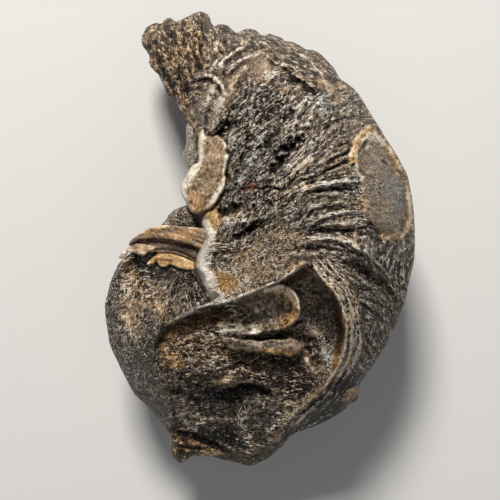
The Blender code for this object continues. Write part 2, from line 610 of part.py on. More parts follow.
def fossil_shell():
    sheets = [sheet_object("shell", OUTLINE, front_height, back_height, GRID, BORDER_BAND)]
    for name, sheet in SHEETS.items():
        top, bottom = sheet_heights(sheet)
        sheets.append(sheet_object(name, sheet.points, top, bottom, GRID / 2, SHEET_ROUNDING))
    body = join_and_resurface("fossil_shell", sheets)
    thin_out(body)
    place(body)
    body.data.materials.clear()
    body.data.materials.append(stone_material())
    body.data.shade_smooth()
    return body


def main():
    clear_scene()
    shell = fossil_shell()
    collection = bpy.data.collections.new("fossil_bivalve_shell")
    bpy.context.scene.collection.children.link(collection)
    bpy.context.scene.collection.objects.unlink(shell)
    collection.objects.link(shell)


main()
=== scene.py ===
"""Fossil oyster shell: the weathered shell, and the plates of calcite and horny shell that lie on it.

Everything is drawn in plan, looking down on the exposed side, in millimetres: X runs to the right,
Y towards the narrow tip, and heights are measured up from the table. Each piece is a closed sheet
between two height fields over its own outline, which is then set in the frame. Values painted on
its vertices carry the finish: how light and how warm the stone is, painted highlight on its crests
and painted shade in its pits, and the run of its growth lines.
"""

import itertools
import math
from collections import namedtuple

import bpy
import numpy as np
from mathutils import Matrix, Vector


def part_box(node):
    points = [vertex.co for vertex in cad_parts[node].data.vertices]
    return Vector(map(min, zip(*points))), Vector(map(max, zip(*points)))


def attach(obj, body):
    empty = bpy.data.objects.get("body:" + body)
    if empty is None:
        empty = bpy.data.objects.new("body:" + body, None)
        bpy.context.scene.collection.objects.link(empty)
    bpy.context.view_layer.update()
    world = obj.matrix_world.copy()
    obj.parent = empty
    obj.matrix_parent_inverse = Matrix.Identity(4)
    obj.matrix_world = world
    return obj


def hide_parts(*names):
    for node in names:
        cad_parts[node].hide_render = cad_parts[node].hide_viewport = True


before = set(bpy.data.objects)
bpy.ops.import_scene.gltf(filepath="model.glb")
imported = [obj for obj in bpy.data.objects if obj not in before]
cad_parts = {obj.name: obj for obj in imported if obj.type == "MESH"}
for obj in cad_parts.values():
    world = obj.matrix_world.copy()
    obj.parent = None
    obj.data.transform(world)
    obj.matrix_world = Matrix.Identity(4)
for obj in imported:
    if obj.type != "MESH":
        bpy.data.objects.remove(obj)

bl_info = {
    "name": "Fossil oyster shell",
    "version": (1, 0, 0),
    "blender": (4, 5, 0),
    "location": "View3D > Sidebar > Fossil shell",
    "description": "Makes the weathered shell, its loose plates and the stage",
    "category": "Add Mesh",
}

NODE = "fossil_shell"
BODY = "root"

# The plan is drawn as seen from SIGHT above the waist. Every length up to the frame is in
# millimetres.
SIGHT = 160.0
WAIST = 20.0
LEAN = math.radians(8.0)
# The box of the drawn shell, once its long axis is turned onto Y.
DRAWN_LOW = np.array([-23.31, -35.63, 0.0])
DRAWN_HIGH = np.array([25.88, 37.59, 39.2])
BOX_LOW, BOX_HIGH = (np.array(corner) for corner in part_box(NODE))
MM = (BOX_HIGH[1] - BOX_LOW[1]) / (DRAWN_HIGH[1] - DRAWN_LOW[1])

# ---- the main shell, as drawn

OUTLINE = [
    (-17.7, 33.4), (-17.1, 34.7), (-16.3, 35.2), (-15.4, 35.5), (-14.7, 35.3), (-14.1, 35.8),
    (-13.3, 36.2), (-12.6, 35.9), (-12.1, 35.4), (-10.9, 36.0), (-9.8, 36.7), (-8.4, 37.2), (-7.3, 36.9),
    (-6.8, 36.2), (-6.5, 35.3), (-5.9, 34.8), (-5.0, 35.2), (-3.8, 35.0), (-3.0, 34.2), (-2.2, 33.8),
    (-0.8, 34.4), (0.7, 34.2), (1.6, 33.5), (3.0, 33.6), (4.8, 33.1), (5.6, 32.4), (7.2, 32.2),
    (8.8, 31.3), (10.0, 31.1), (11.8, 29.9), (13.5, 28.1), (14.6, 26.4), (16.8, 24.9), (19.0, 21.8),
    (21.0, 18.7), (23.0, 15.6), (25.0, 12.4), (25.8, 10.0), (26.4, 7.0), (26.7, 3.1), (26.7, 0.0),
    (26.3, -3.1), (25.3, -7.5), (24.4, -10.1), (23.3, -12.8), (21.9, -15.4), (20.4, -17.7), (18.7, -19.9),
    (17.9, -21.1), (17.6, -23.2), (16.5, -24.1), (15.1, -25.2), (13.1, -26.4), (10.1, -27.7),
    (7.3, -28.6), (5.8, -30.0), (4.2, -31.6), (2.5, -32.7), (0.2, -33.6), (-2.2, -33.0), (-4.5, -32.5),
    (-6.8, -32.0), (-9.3, -32.2), (-11.0, -33.0), (-12.0, -32.5), (-12.6, -31.3), (-12.4, -30.0),
    (-12.8, -28.8), (-14.0, -27.1), (-15.4, -25.3), (-16.8, -23.9), (-18.7, -22.2), (-20.1, -19.7),
    (-21.6, -16.8), (-22.5, -14.8), (-23.0, -12.4), (-23.5, -8.7), (-23.0, -6.5), (-22.3, -4.3),
    (-21.2, -2.0), (-19.4, -0.4), (-17.4, 1.2), (-15.2, 3.2), (-13.7, 4.8), (-12.4, 6.2), (-11.2, 6.8),
    (-9.8, 7.4), (-9.2, 9.3), (-8.9, 12.4), (-9.3, 15.6), (-10.0, 18.7), (-11.2, 21.6), (-12.2, 23.4),
    (-13.6, 24.4), (-14.2, 25.8), (-14.9, 27.2), (-15.7, 28.1), (-16.3, 29.4), (-16.8, 30.8),
    (-17.7, 32.0),
]
# Spot heights (x, y, height) of the exposed side, of the lobe that is turned over on its left, and
# of the buried side.
FRONT_SPOTS = [
    (-15.6, 32.6, 19.5), (-9.0, 32.5, 22.0), (-8.0, 25.0, 25.5), (1.5, 29.5, 28.0), (9.0, 27.0, 29.5),
    (-2.0, 22.0, 30.5), (12.5, 21.0, 33.0), (5.0, 17.0, 34.5), (17.0, 15.0, 34.5), (-2.0, 13.0, 33.5),
    (-7.5, 9.5, 30.5), (7.8, 8.0, 38.0), (1.5, 6.0, 36.5), (15.5, 5.0, 38.2), (22.5, 8.0, 33.5),
    (22.5, -2.0, 32.5), (15.5, -3.0, 37.5), (-5.4, 0.0, 33.0), (2.0, -1.0, 35.0), (8.5, 0.5, 36.8),
    (-5.0, -6.5, 31.5), (1.5, -6.2, 33.0), (9.5, -2.3, 35.2), (15.5, -12.5, 33.0), (13.0, -21.5, 28.5),
    (6.0, -26.5, 24.5), (0.0, -31.0, 20.0), (20.0, -12.5, 31.0), (18.5, 21.0, 28.0), (24.0, -8.0, 29.0),
]
LOBE_SPOTS = [
    (-8.5, 4.5, 25.0), (-12.6, 5.0, 26.5), (-10.6, 6.6, 27.0), (-13.0, 2.0, 22.5), (-9.5, 0.0, 25.0),
    (-15.0, -1.5, 23.5), (-19.5, -3.5, 22.5), (-9.0, -4.5, 27.2), (-15.5, -6.5, 26.8),
    (-20.5, -8.5, 24.0), (-8.5, -8.0, 29.0), (-12.5, -10.5, 28.2), (-18.0, -13.0, 26.2),
    (-15.5, -16.0, 26.6), (-19.0, -19.0, 23.5), (-14.5, -20.5, 25.5), (-14.0, -25.0, 22.5),
    (-12.5, -28.5, 20.5),
]
BACK_SPOTS = [
    (-15.0, 33.0, 8.5), (-5.0, 27.0, 5.5), (6.0, 22.0, 2.6), (5.0, 4.0, -1.3), (-2.0, -6.0, -0.9),
    (10.0, -8.0, -0.7), (14.0, 10.0, 1.0), (22.0, 0.0, 5.5), (-8.0, 8.0, 4.5), (-15.0, -8.0, 3.0),
    (-20.0, -12.0, 6.0), (-10.0, -22.0, 4.0), (0.0, -30.0, 7.0), (13.0, -22.0, 4.5), (18.0, 17.0, 6.0),
]
# The border is rounded over FRONT_ROUNDING. The line where the two sides meet droops towards both
# ends and at the lobe.
FRONT_ROUNDING = 9.0
WAIST_MIDDLE = 25.5
WAIST_DROOP = 13.5
HALF_LENGTH = 36.0
LOBE_DROOP = 5.0
HALF_WIDTH = 24.0
BORDER_BAND = 3.0

# The aperture, its lip and what stands on its floor.
LIP = [
    (-14.0, -12.4), (-12.1, -10.9), (-9.8, -9.6), (-7.6, -8.8), (-5.3, -8.4), (-2.8, -7.9), (-0.8, -7.1),
    (1.3, -6.2), (3.4, -5.4), (5.0, -4.7), (6.8, -3.7), (8.6, -2.4), (9.6, -2.3), (10.7, -3.4),
    (11.8, -4.8), (13.7, -6.8), (14.8, -9.2), (15.5, -11.8), (15.7, -14.2), (15.1, -16.9), (13.7, -19.4),
    (11.8, -21.9), (9.5, -23.8), (7.3, -25.5), (5.0, -28.5),
]
APERTURE = LIP + [
    (2.5, -30.2), (0.3, -31.4), (-2.2, -31.1), (-5.6, -30.5), (-8.4, -29.5), (-10.6, -28.3),
    (-12.1, -26.1), (-11.5, -23.3), (-12.8, -20.8), (-14.0, -18.0), (-14.6, -15.6),
]
FLOOR_SPOTS = [
    (12.4, -7.8, 26.5), (13.2, -14.0, 25.0), (11.7, -17.9, 25.5), (7.8, -4.7, 29.5), (9.3, -12.4, 25.0),
    (0.0, -9.3, 26.5), (-7.8, -11.7, 26.5), (-11.7, -14.0, 26.0), (-7.8, -15.6, 27.0),
    (-3.1, -14.8, 25.7), (-3.2, -12.3, 27.6), (-6.0, -13.4, 27.0), (1.6, -14.8, 24.8),
    (-12.4, -18.7, 26.0), (-4.7, -18.7, 25.8), (3.1, -18.7, 24.4), (7.8, -18.7, 24.2), (9.3, -21.0, 23.5),
    (-9.3, -23.3, 21.5), (-1.6, -22.5, 19.8), (0.8, -24.9, 21.4), (0.0, -27.2, 20.0), (-4.7, -28.8, 17.4),
    (1.6, -29.5, 18.4), (-9.3, -27.2, 20.4), (-10.9, -29.5, 19.5), (6.2, -23.3, 22.6),
]
FLOOR_REACH = 0.5
APERTURE_REST = APERTURE[len(LIP) - 1 :] + APERTURE[:1]

# The pale hinge band, and the part of the plan that the lobe takes up on its left.
HINGE_BAND = [
    (-6.9, 5.0), (-6.85, 2.8), (-6.45, 1.8), (-7.1, 0.2), (-7.65, -1.3), (-7.9, -2.65), (-7.05, -4.0),
    (-6.4, -5.8), (-5.6, -7.0), (-4.4, -7.4),
]
HINGE_RISE = 0.9
HINGE_WIDTH = 0.9
LOBE_SIDE = [(x - HINGE_WIDTH, y) for x, y in HINGE_BAND] + [
    (-9.8, -9.4), (-14.0, -12.6), (-14.8, -16.0), (-13.2, -21.0), (-12.0, -26.0), (-13.0, -36.0),
    (-32.0, -34.0), (-32.0, 6.0), (-12.0, 8.0), (-8.4, 7.4),
]
LOBE_EDGE = 1.6
LOBE_HINGE = (-9.5, -0.5)
LOBE_RADIUS = 9.0
LIP_RISE = 0.7
LIP_WIDTH = 0.32
BASE_LIP_RISE = 0.8
BASE_LIP_WIDTH = 0.5
RIB_RISE = 0.8
RIB_WIDTH = 0.7
RIB_LENS_RISE = 0.9

# The outer layer is broken off along two arches near the tip. A flap and a smooth scale stand on it.
ARCH = [
    (-5.2, 25.6), (-4.7, 26.8), (-3.1, 28.0), (-1.2, 29.5), (0.9, 30.7), (2.5, 31.0), (3.3, 29.4),
    (4.7, 28.7), (5.8, 27.9), (7.8, 26.5), (9.2, 25.5), (10.6, 24.4), (12.4, 22.9),
]
ARCH_DROP = 1.3
ARCH_REACH = 4.0
EAR = [(-9.6, 26.6), (-8.9, 26.9), (-7.6, 26.9), (-6.2, 26.4), (-5.1, 25.3), (-4.2, 24.3), (-3.4, 22.8)]
EAR_DROP = 0.7
EAR_REACH = 1.6
EDGE_TAPER = 0.14
FLAP = [
    (-7.9, 25.8), (-6.8, 26.4), (-5.8, 25.8), (-4.7, 24.6), (-3.7, 23.0), (-3.7, 21.5), (-4.4, 20.2),
    (-5.3, 18.7), (-6.1, 17.7), (-7.2, 18.5), (-8.2, 19.9), (-9.0, 21.5), (-8.9, 23.3), (-8.4, 24.9),
]
FLAP_RISE = 0.6
FLAP_EDGE = [(-6.5, 17.5), (-5.3, 18.3), (-4.2, 19.6), (-3.6, 21.2), (-3.5, 22.8)]
FLAP_EDGE_DROP = 1.3
FLAP_EDGE_REACH = 1.5
SCALE = [
    (16.3, 13.5), (16.9, 15.6), (17.9, 17.1), (19.0, 18.7), (20.2, 17.9), (21.5, 16.8), (22.7, 15.2),
    (23.9, 13.5), (25.0, 11.7), (25.8, 9.6), (26.3, 7.3), (26.0, 5.0), (25.3, 3.1), (24.1, 2.2),
    (22.9, 1.9), (21.5, 2.6), (19.9, 3.7), (18.7, 5.4), (18.0, 7.8), (18.0, 9.8), (17.7, 12.1),
]
SCALE_RISE = 0.55

# The crack across the middle, and the line of rust along it.
CRACK = [
    (-6.2, 6.4), (-5.3, 7.5), (-4.8, 8.6), (-3.9, 9.1), (-2.4, 9.5), (-1.0, 9.5), (0.4, 9.7), (1.8, 9.5),
    (3.1, 9.8), (4.5, 9.5), (5.9, 9.5), (6.5, 10.3), (7.4, 11.2), (8.6, 11.0), (9.3, 10.2), (10.7, 11.0),
    (12.5, 12.3), (14.8, 13.2), (15.9, 13.8),
]
CRACK_DEPTH = 0.6
CRACK_WIDTH = 0.17
CRACK_SHADE = 0.4
RUST_LINES = [
    [(-0.6, 10.4), (0.1, 10.1), (0.9, 10.1)],
    [(-1.6, 9.5), (-0.9, 9.3), (-0.1, 9.6), (0.7, 9.4)],
]
RUST_STRENGTH = 1.1
RUST_WIDTH = 0.17

# Growth folds of the flank from the top down: path, height, half width, and how far down the
# flank it lies, which leads the growth lines between the folds.
Fold = namedtuple("Fold", "path rise width level")
FOLDS = [Fold(*row) for row in (
    ([(10.6, 18.2), (12.4, 19.1), (14.0, 19.9), (15.9, 20.7)], -0.25, 0.25, 19.5),
    ([(13.4, 15.7), (15.1, 16.2), (16.2, 16.6), (17.3, 17.6)], -0.25, 0.25, 15.7),
    ([(11.8, 13.5), (12.9, 14.2), (14.5, 14.6), (15.9, 15.2)], -0.2, 0.25, 14.2),
    ([(6.2, 10.1), (8.2, 11.2), (10.4, 11.7), (13.2, 12.4), (15.9, 13.5)], -0.12, 0.25, 12.4),
    ([(7.8, 8.4), (9.3, 9.6), (11.4, 10.3), (14.0, 10.4), (16.5, 10.6), (18.2, 10.4), (18.5, 9.3)],
        0.9, 0.6, 10.4),
    ([(7.8, 7.2), (9.3, 8.6), (11.2, 9.2), (14.8, 9.3), (17.1, 9.3)], -0.5, 0.35, 9.25),
    ([(8.2, 6.8), (10.6, 8.2), (13.2, 8.6), (16.5, 8.4)], 0.3, 0.3, 8.6),
    ([(7.8, 5.6), (9.6, 7.5), (12.4, 7.9), (15.9, 7.9)], -0.45, 0.3, 7.9),
    ([(8.4, 5.3), (10.9, 6.7), (14.0, 7.0), (17.1, 7.0)], 0.4, 0.4, 6.9),
    ([(8.7, 4.7), (10.6, 6.1), (13.7, 6.4), (15.6, 6.4)], -0.3, 0.25, 6.35),
    ([(8.7, 3.4), (10.3, 4.5), (11.4, 5.0), (14.8, 5.8), (17.3, 5.9), (20.2, 5.4)], 0.6, 0.45, 5.5),
    ([(9.3, 3.0), (11.2, 3.7), (14.0, 3.9), (16.8, 4.0)], 0.35, 0.25, 3.9),
    ([(7.2, 1.6), (9.0, 2.6), (12.4, 2.9), (16.3, 2.8), (19.4, 2.8), (22.1, 2.3), (23.6, 1.6)],
        -0.9, 0.85, 2.9),
    ([(7.2, 0.2), (8.7, 1.1), (10.6, 1.7), (13.7, 1.6), (16.3, 1.1), (17.6, 0.0), (19.0, -1.9)],
        0.8, 0.6, 1.6),
    ([(6.2, -1.1), (7.8, 0.2), (10.6, 0.5), (13.2, 0.0), (15.9, -1.2)], -0.5, 0.35, 0.1),
    ([(5.3, -1.9), (6.8, -0.9), (9.6, -0.8), (11.7, -0.9)], 0.3, 0.4, -0.9),
    ([(13.4, -0.8), (15.9, -1.9), (18.0, -3.1), (20.2, -4.5), (22.1, -5.9), (23.9, -8.1)],
        -1.6, 0.9, -0.7),
    ([(14.8, -3.9), (17.4, -5.3), (19.6, -5.8), (21.5, -6.4), (22.7, -7.8), (23.6, -9.3)],
        0.4, 0.3, -3.6),
    ([(17.4, -7.8), (19.1, -8.6), (20.8, -9.6), (22.2, -12.0)], 0.35, 0.3, -7.2),
    ([(18.0, -9.6), (19.0, -10.6), (20.2, -12.1), (21.1, -14.0)], 0.3, 0.3, -9.2),
)]
FOLD_TAPER = 0.3
FOLD_WANDER = 0.35
FOLD_GAIN = 0.95
BULGE = [(17.0, 1.3), (18.7, 0.0), (20.5, -1.6)]
BULGE_RISE = 1.3
BULGE_WIDTH = 1.3

# The curved rib on the aperture's floor and the lens-shaped one on it.
RIB = [
    (-12.1, -20.7), (-9.3, -21.5), (-7.0, -21.6), (-4.8, -21.1), (-1.9, -20.2), (0.5, -20.0),
    (2.6, -20.8),
]
RIB_LENS = [
    (-4.8, -21.1), (-3.4, -19.7), (-1.9, -18.7), (-0.5, -18.8), (0.0, -19.6), (-1.6, -20.5),
    (-3.1, -21.1),
]

# Lines that are raised or cut, and painted: path, half width, rise, and how much lighter and
# warmer the stone is on them. Dark lines in grooves, caves, clefts and under broken edges are
# painted shade, and light lines on crests are partly painted highlight.
Stroke = namedtuple("Stroke", "path width rise tone warm", defaults=[0.0])
STROKES = [Stroke(*row) for row in (
    # the broken edges near the tip: light crests are partly painted highlight, and the dark grooves,
    # clefts and the flap edge's shadow are painted shade
    ([(2.3, 31.0), (0.6, 30.4), (-1.0, 29.8), (-2.9, 28.6), (-4.3, 27.2)], 0.32, 0.5, 0.36),
    ([(1.6, 31.9), (-0.8, 31.1), (-3.0, 29.8), (-4.6, 28.3)], 0.3, -0.35, -0.12, 0.1),
    ([(-0.6, 31.8), (-2.8, 30.9), (-4.4, 29.6), (-5.4, 28.0)], 0.26, 0.4, 0.34),
    ([(-2.2, 31.6), (-4.0, 30.5), (-5.4, 29.0)], 0.26, -0.3, -0.12, 0.1),
    ([(-3.6, 30.9), (-5.1, 29.7), (-6.4, 28.1), (-6.9, 27.2)], 0.24, 0.3, 0.38),
    ([(-1.0, 28.4), (-2.4, 27.0), (-3.3, 25.4)], 0.5, 0.3, 0.02, 0.1),
    ([(-0.4, 27.4), (-1.6, 26.2), (-2.4, 24.8)], 0.35, -0.25, -0.08, 0.2),
    ([(-9.2, 26.3), (-7.6, 26.7), (-6.2, 26.1), (-5.1, 24.9), (-4.3, 23.4)], 0.26, -0.3, -0.2, 0.1),
    ([(-9.3, 26.7), (-7.7, 27.2), (-5.9, 26.8), (-4.7, 25.5), (-3.8, 23.9)], 0.22, 0.25, 0.36, 0.05),
    ([(-5.9, 25.7), (-6.7, 24.1), (-7.3, 22.7)], 0.45, 0.4, 0.16),
    ([(-4.4, 24.2), (-5.2, 22.6), (-5.9, 21.4)], 0.6, 0.35, 0.26, -0.1),
    ([(-6.6, 22.2), (-7.2, 20.6), (-7.2, 19.2)], 0.3, -0.3, -0.14),
    ([(-5.4, 18.2), (-4.4, 19.1), (-3.0, 19.9)], 0.9, -1.0, -0.26),
    ([(-6.7, 33.3), (-5.6, 32.0), (-6.1, 30.6)], 0.21, 0.15, 0.26),
    ([(-5.8, 33.1), (-5.6, 32.0)], 0.18, 0.1, 0.2),
    ([(-13.8, 35.1), (-13.1, 33.7), (-12.1, 32.0)], 0.35, -0.4, -0.22, 0.1),
    ([(-9.3, 31.1), (-8.9, 29.5), (-8.2, 28.3)], 0.3, -0.3, -0.16),
    ([(-12.3, 27.5), (-11.2, 25.7), (-10.4, 24.6)], 0.5, -0.5, -0.3),
    ([(2.6, 30.9), (3.1, 29.7), (4.2, 29.1), (5.0, 29.2), (6.4, 27.8), (8.1, 26.8), (9.5, 25.8),
        (10.9, 24.6)], 0.19, 0.15, 0.26, 0.1),
    ([(2.9, 29.9), (3.6, 28.9)], 0.3, -0.3, -0.14, 0.1),
    ([(5.6, 28.0), (6.5, 27.2), (7.3, 26.2)], 0.55, -0.6, -0.2, 0.2),
    ([(7.9, 26.2), (9.0, 25.3), (10.2, 24.6)], 0.65, -0.6, -0.18, 0.3),
    ([(2.5, 26.7), (4.0, 27.8)], 0.7, 0.3, 0.24, -0.1),
    ([(11.2, 22.4), (11.8, 23.5), (12.6, 24.4)], 0.8, 0.0, 0.14, -0.35),
    ([(-14.2, 35.0), (-12.9, 33.8), (-12.1, 32.7)], 0.35, -0.5, -0.24, 0.1),
    ([(-11.5, 34.7), (-10.9, 33.3), (-11.2, 31.7)], 0.3, -0.5, -0.2, 0.1),
    ([(-8.9, 32.8), (-9.2, 30.8), (-8.4, 29.1)], 0.22, -0.35, -0.18),
    ([(-7.9, 33.0), (-8.2, 31.1), (-7.7, 29.2)], 0.22, -0.35, -0.18),
    ([(-15.4, 30.6), (-14.4, 28.3), (-13.1, 26.0), (-11.5, 23.9)], 0.5, -0.7, -0.22, 0.1),
    ([(-16.7, 34.5), (-15.4, 33.2), (-13.7, 31.9)], 0.4, 0.3, 0.14, 0.1),
    ([(-10.4, 35.8), (-9.3, 34.5), (-8.4, 33.7)], 0.5, 0.4, 0.12, 0.2),
    ([(2.3, 28.4), (3.0, 27.8)], 0.45, 0.0, 0.22, -0.25),
    # caves of the rough middle, darkened as painted shade, and light crests that are partly
    # painted highlight
    ([(5.0, 14.5), (6.1, 15.7), (7.6, 16.9)], 0.9, -1.3, -0.26),
    ([(3.6, 12.6), (4.8, 13.8)], 0.7, -0.9, -0.22),
    ([(-3.9, 11.7), (-2.6, 12.1)], 0.5, -0.9, -0.24),
    ([(-4.5, 6.1), (-3.3, 6.1), (-1.7, 6.8)], 0.9, -1.1, -0.2, 0.5),
    ([(-0.5, 3.0), (1.2, 3.9)], 0.8, -1.1, -0.27),
    ([(-1.1, 16.9), (0.5, 18.0)], 0.4, -0.7, -0.21),
    ([(2.8, 16.8), (4.2, 18.5)], 0.5, -0.7, -0.21),
    ([(-2.0, 1.9), (-0.5, 2.8)], 0.5, -0.7, -0.21),
    ([(1.9, 20.2), (3.1, 21.5)], 0.5, -0.6, -0.19),
    ([(5.3, 20.2), (6.4, 21.6)], 0.5, -0.6, -0.19),
    ([(-1.6, 14.3), (-0.6, 15.7)], 0.45, -0.6, -0.19),
    ([(0.0, 13.7), (0.9, 15.6), (1.9, 17.7)], 0.5, 0.55, 0.2, -0.1),
    ([(-1.9, 10.3), (-0.9, 11.8), (0.3, 13.7)], 0.55, 0.4, 0.06, -0.4),
    ([(3.6, 10.0), (4.7, 10.7), (5.6, 11.4)], 0.32, 0.17, 0.2, 0.1),
    ([(7.2, 12.0), (8.2, 13.1), (9.0, 13.7)], 1.0, 0.3, 0.18, 0.2),
    ([(-3.4, 4.2), (-1.7, 5.3)], 1.1, 0.3, 0.24, 0.1),
    ([(5.1, 17.6), (6.2, 18.7), (7.3, 19.9)], 0.6, 0.4, 0.14),
    ([(-4.4, 15.2), (-3.1, 17.3)], 0.6, 0.3, 0.22),
    ([(7.8, 22.2), (9.2, 23.6)], 0.5, 0.3, 0.2),
    # flank: light fold crests are partly painted highlight, and the dark line by the crack and the
    # dark troughs between folds are painted shade
    ([(5.9, 9.0), (7.3, 10.3), (8.7, 10.9), (10.7, 11.2)], 0.16, -0.2, -0.16, 0.2),
    ([(6.1, 10.3), (7.8, 9.3), (11.2, 10.0), (14.8, 10.6), (18.0, 10.9)], 0.5, 0.15, 0.14, -0.1),
    ([(11.4, 5.1), (14.5, 5.5), (17.4, 5.4)], 0.45, 0.12, 0.13, -0.1),
    ([(10.7, 3.7), (14.8, 4.1), (17.4, 4.1)], 0.16, 0.1, 0.24, -0.1),
    ([(10.7, 1.9), (13.2, 1.7), (15.9, 1.1)], 0.5, 0.12, 0.13),
    ([(17.6, 4.0), (17.0, 2.6), (17.2, 1.1), (17.6, 0.5)], 0.24, 0.15, 0.26, 0.1),
    ([(18.0, 7.5), (18.8, 6.4)], 0.9, 0.0, 0.16, 0.3),
    ([(8.9, 9.8), (10.6, 9.3)], 0.6, 0.0, 0.12, 0.4),
    ([(5.6, -0.9), (7.2, 0.3), (9.3, 0.9), (11.8, 1.1), (14.3, 0.6)], 0.4, 0.1, 0.12, 0.2),
    ([(7.8, -1.9), (10.6, -0.8), (13.1, -0.6), (15.4, -1.4), (16.8, -2.5)], 0.36, 0.1, 0.10, 0.1),
    ([(11.2, 18.2), (12.5, 19.1), (13.6, 19.9), (14.9, 20.4), (15.6, 20.5)], 0.22, -0.3, -0.26, 0.1),
    ([(14.1, 15.9), (14.9, 16.3), (16.1, 16.7)], 0.2, -0.3, -0.24, 0.1),
    ([(12.1, 12.9), (13.7, 14.2), (15.6, 15.1), (16.5, 16.6)], 0.3, -0.4, -0.24, 0.1),
    ([(10.0, 11.4), (11.2, 11.9), (12.5, 12.4), (14.0, 13.1), (15.2, 13.5), (16.6, 13.0)],
        0.15, -0.3, -0.22, 0.1),
    ([(16.3, 13.3), (16.8, 13.1)], 0.34, -0.4, -0.34),
    ([(11.2, 26.1), (12.4, 25.5), (14.0, 24.6)], 0.7, 0.1, 0.14, 0.35),
    ([(10.9, 23.2), (11.5, 22.4), (12.1, 21.6)], 0.7, 0.1, 0.16, -0.45),
    # edge of the scale: gold and cream rims, and small dark grooves that are painted shade
    ([(15.9, 13.7), (16.5, 15.6), (17.4, 17.5), (18.5, 18.8), (19.6, 18.9)], 0.3, 0.2, 0.12, 0.2),
    ([(17.1, 13.6), (17.4, 15.2), (18.3, 16.8), (19.3, 17.9)], 0.18, 0.12, 0.26, -0.4),
    ([(17.3, 14.6), (18.0, 15.9), (19.0, 17.2)], 0.3, -0.35, -0.16),
    ([(19.4, 18.6), (21.4, 16.7), (23.4, 14.4), (24.8, 11.8)], 0.28, 0.15, 0.3, 0.2),
    ([(21.8, 15.6), (23.5, 14.0), (24.9, 11.2)], 0.9, 0.0, -0.02, 0.35),
    ([(25.2, 10.4), (25.8, 8.0), (26.1, 5.6), (25.8, 3.7), (24.6, 2.3), (22.3, 1.8), (20.6, 2.6)],
        0.4, 0.3, 0.32, 0.4),
    ([(17.1, 13.8), (17.7, 12.4)], 0.28, 0.07, 0.34),
    ([(18.0, 10.0), (18.5, 9.2)], 0.24, 0.1, 0.24),
    ([(21.2, 14.0), (21.7, 13.6), (22.2, 13.1)], 0.14, -0.2, -0.24, 0.1),
    ([(18.3, 15.6), (18.8, 15.0), (19.2, 14.5)], 0.16, -0.15, -0.18),
    # lip, web and floor of the aperture: the pale lip crest and the white streaks on the floor are
    # partly painted highlight, and the dark grooves and the arc above the pocket are painted shade
    ([(-14.2, -12.3), (-13.2, -11.5), (-11.2, -10.5), (-9.0, -9.3), (-7.2, -8.6), (-5.0, -8.2),
        (-3.1, -7.9), (-1.6, -7.4), (0.3, -6.5), (2.8, -5.6), (5.3, -4.5), (7.8, -3.1), (9.6, -2.3)],
        0.26, 0.12, 0.58),
    ([(7.2, -1.2), (8.6, -2.3), (10.6, -3.9), (12.4, -5.0), (13.5, -6.1), (14.3, -7.5), (15.2, -9.6),
        (15.9, -11.8), (15.6, -14.0), (15.0, -16.9), (14.2, -18.7), (12.8, -20.4), (11.5, -21.9)],
        0.2, 0.12, 0.42, 0.25),
    ([(11.5, -21.9), (8.4, -24.3), (6.2, -26.4), (4.4, -28.6)], 0.28, 0.07, 0.12, 0.2),
    ([(8.7, -16.5), (9.6, -17.7), (10.6, -19.1), (11.7, -20.4)], 0.24, 0.23, 0.26, 0.1),
    ([(10.6, -19.6), (11.2, -18.9), (12.3, -18.6), (13.3, -19.1), (13.8, -19.9)], 0.14, 0.08, 0.3, 0.1),
    ([(8.6, -11.6), (9.9, -12.2), (11.5, -13.4)], 0.9, 0.4, 0.09, 0.2),
    ([(9.0, -13.6), (10.2, -14.4), (11.2, -15.6)], 0.7, -0.5, -0.1, 0.2),
    ([(9.6, -15.1), (10.4, -16.2), (11.2, -17.3)], 0.9, -0.7, -0.2, 0.1),
    ([(11.5, -15.7), (12.4, -16.3), (13.1, -17.1)], 0.9, 0.2, 0.16, -0.4),
    ([(15.1, -10.6), (15.6, -12.4), (15.3, -14.5)], 0.5, 0.0, 0.12, 0.6),
    ([(14.8, -15.9), (14.2, -17.4), (13.4, -18.7)], 0.4, 0.0, 0.12, 0.5),
    ([(-7.3, -17.7), (-5.6, -17.6)], 0.24, 0.15, 0.3),
    ([(-4.9, -10.6), (-3.4, -10.4), (-1.8, -10.0)], 0.3, 0.2, 0.2),
    ([(-4.6, -11.6), (-3.0, -11.5), (-1.4, -11.6)], 0.5, 0.35, 0.5, 0.2),
    ([(-4.4, -12.8), (-2.9, -12.6), (-1.0, -12.4)], 0.6, 0.4, 0.62, 0.15),
    ([(-4.9, -12.2), (-3.6, -12.1), (-1.8, -12.0)], 0.18, -0.2, -0.1),
    ([(-5.2, -13.4), (-3.8, -13.3), (-2.0, -13.2)], 0.22, -0.2, -0.12),
    ([(-11.8, -17.4), (-9.8, -17.0), (-8.0, -16.9)], 0.22, 0.12, 0.2, 0.1),
    ([(-10.4, -19.4), (-8.4, -19.0), (-6.6, -19.4)], 0.24, 0.15, 0.18, 0.15),
    ([(-6.4, -16.9), (-4.6, -16.6), (-2.8, -16.8)], 0.22, 0.12, 0.18, 0.1),
    ([(-2.6, -17.6), (-1.0, -17.2), (0.8, -17.6)], 0.2, 0.12, 0.16, 0.1),
    ([(-14.3, -15.9), (-13.2, -16.8), (-12.1, -18.0)], 0.9, 0.2, 0.1, 0.5),
    ([(-4.8, -20.5), (-3.7, -19.6), (-2.3, -18.8), (-1.1, -18.5), (-0.3, -19.1)], 0.26, 0.2, 0.34, 0.2),
    ([(-4.4, -20.9), (-3.1, -20.1), (-1.9, -19.3)], 0.4, 0.2, 0.2, 0.2),
    ([(-4.5, -21.3), (-2.6, -21.0), (-0.8, -20.4), (1.2, -20.5), (3.1, -21.3), (4.4, -22.2)],
        0.24, 0.2, 0.26, 0.2),
    ([(-4.4, -22.2), (-2.3, -21.6), (-0.5, -21.3), (1.2, -21.6), (2.8, -22.4)], 0.8, -0.6, -0.1, -0.1),
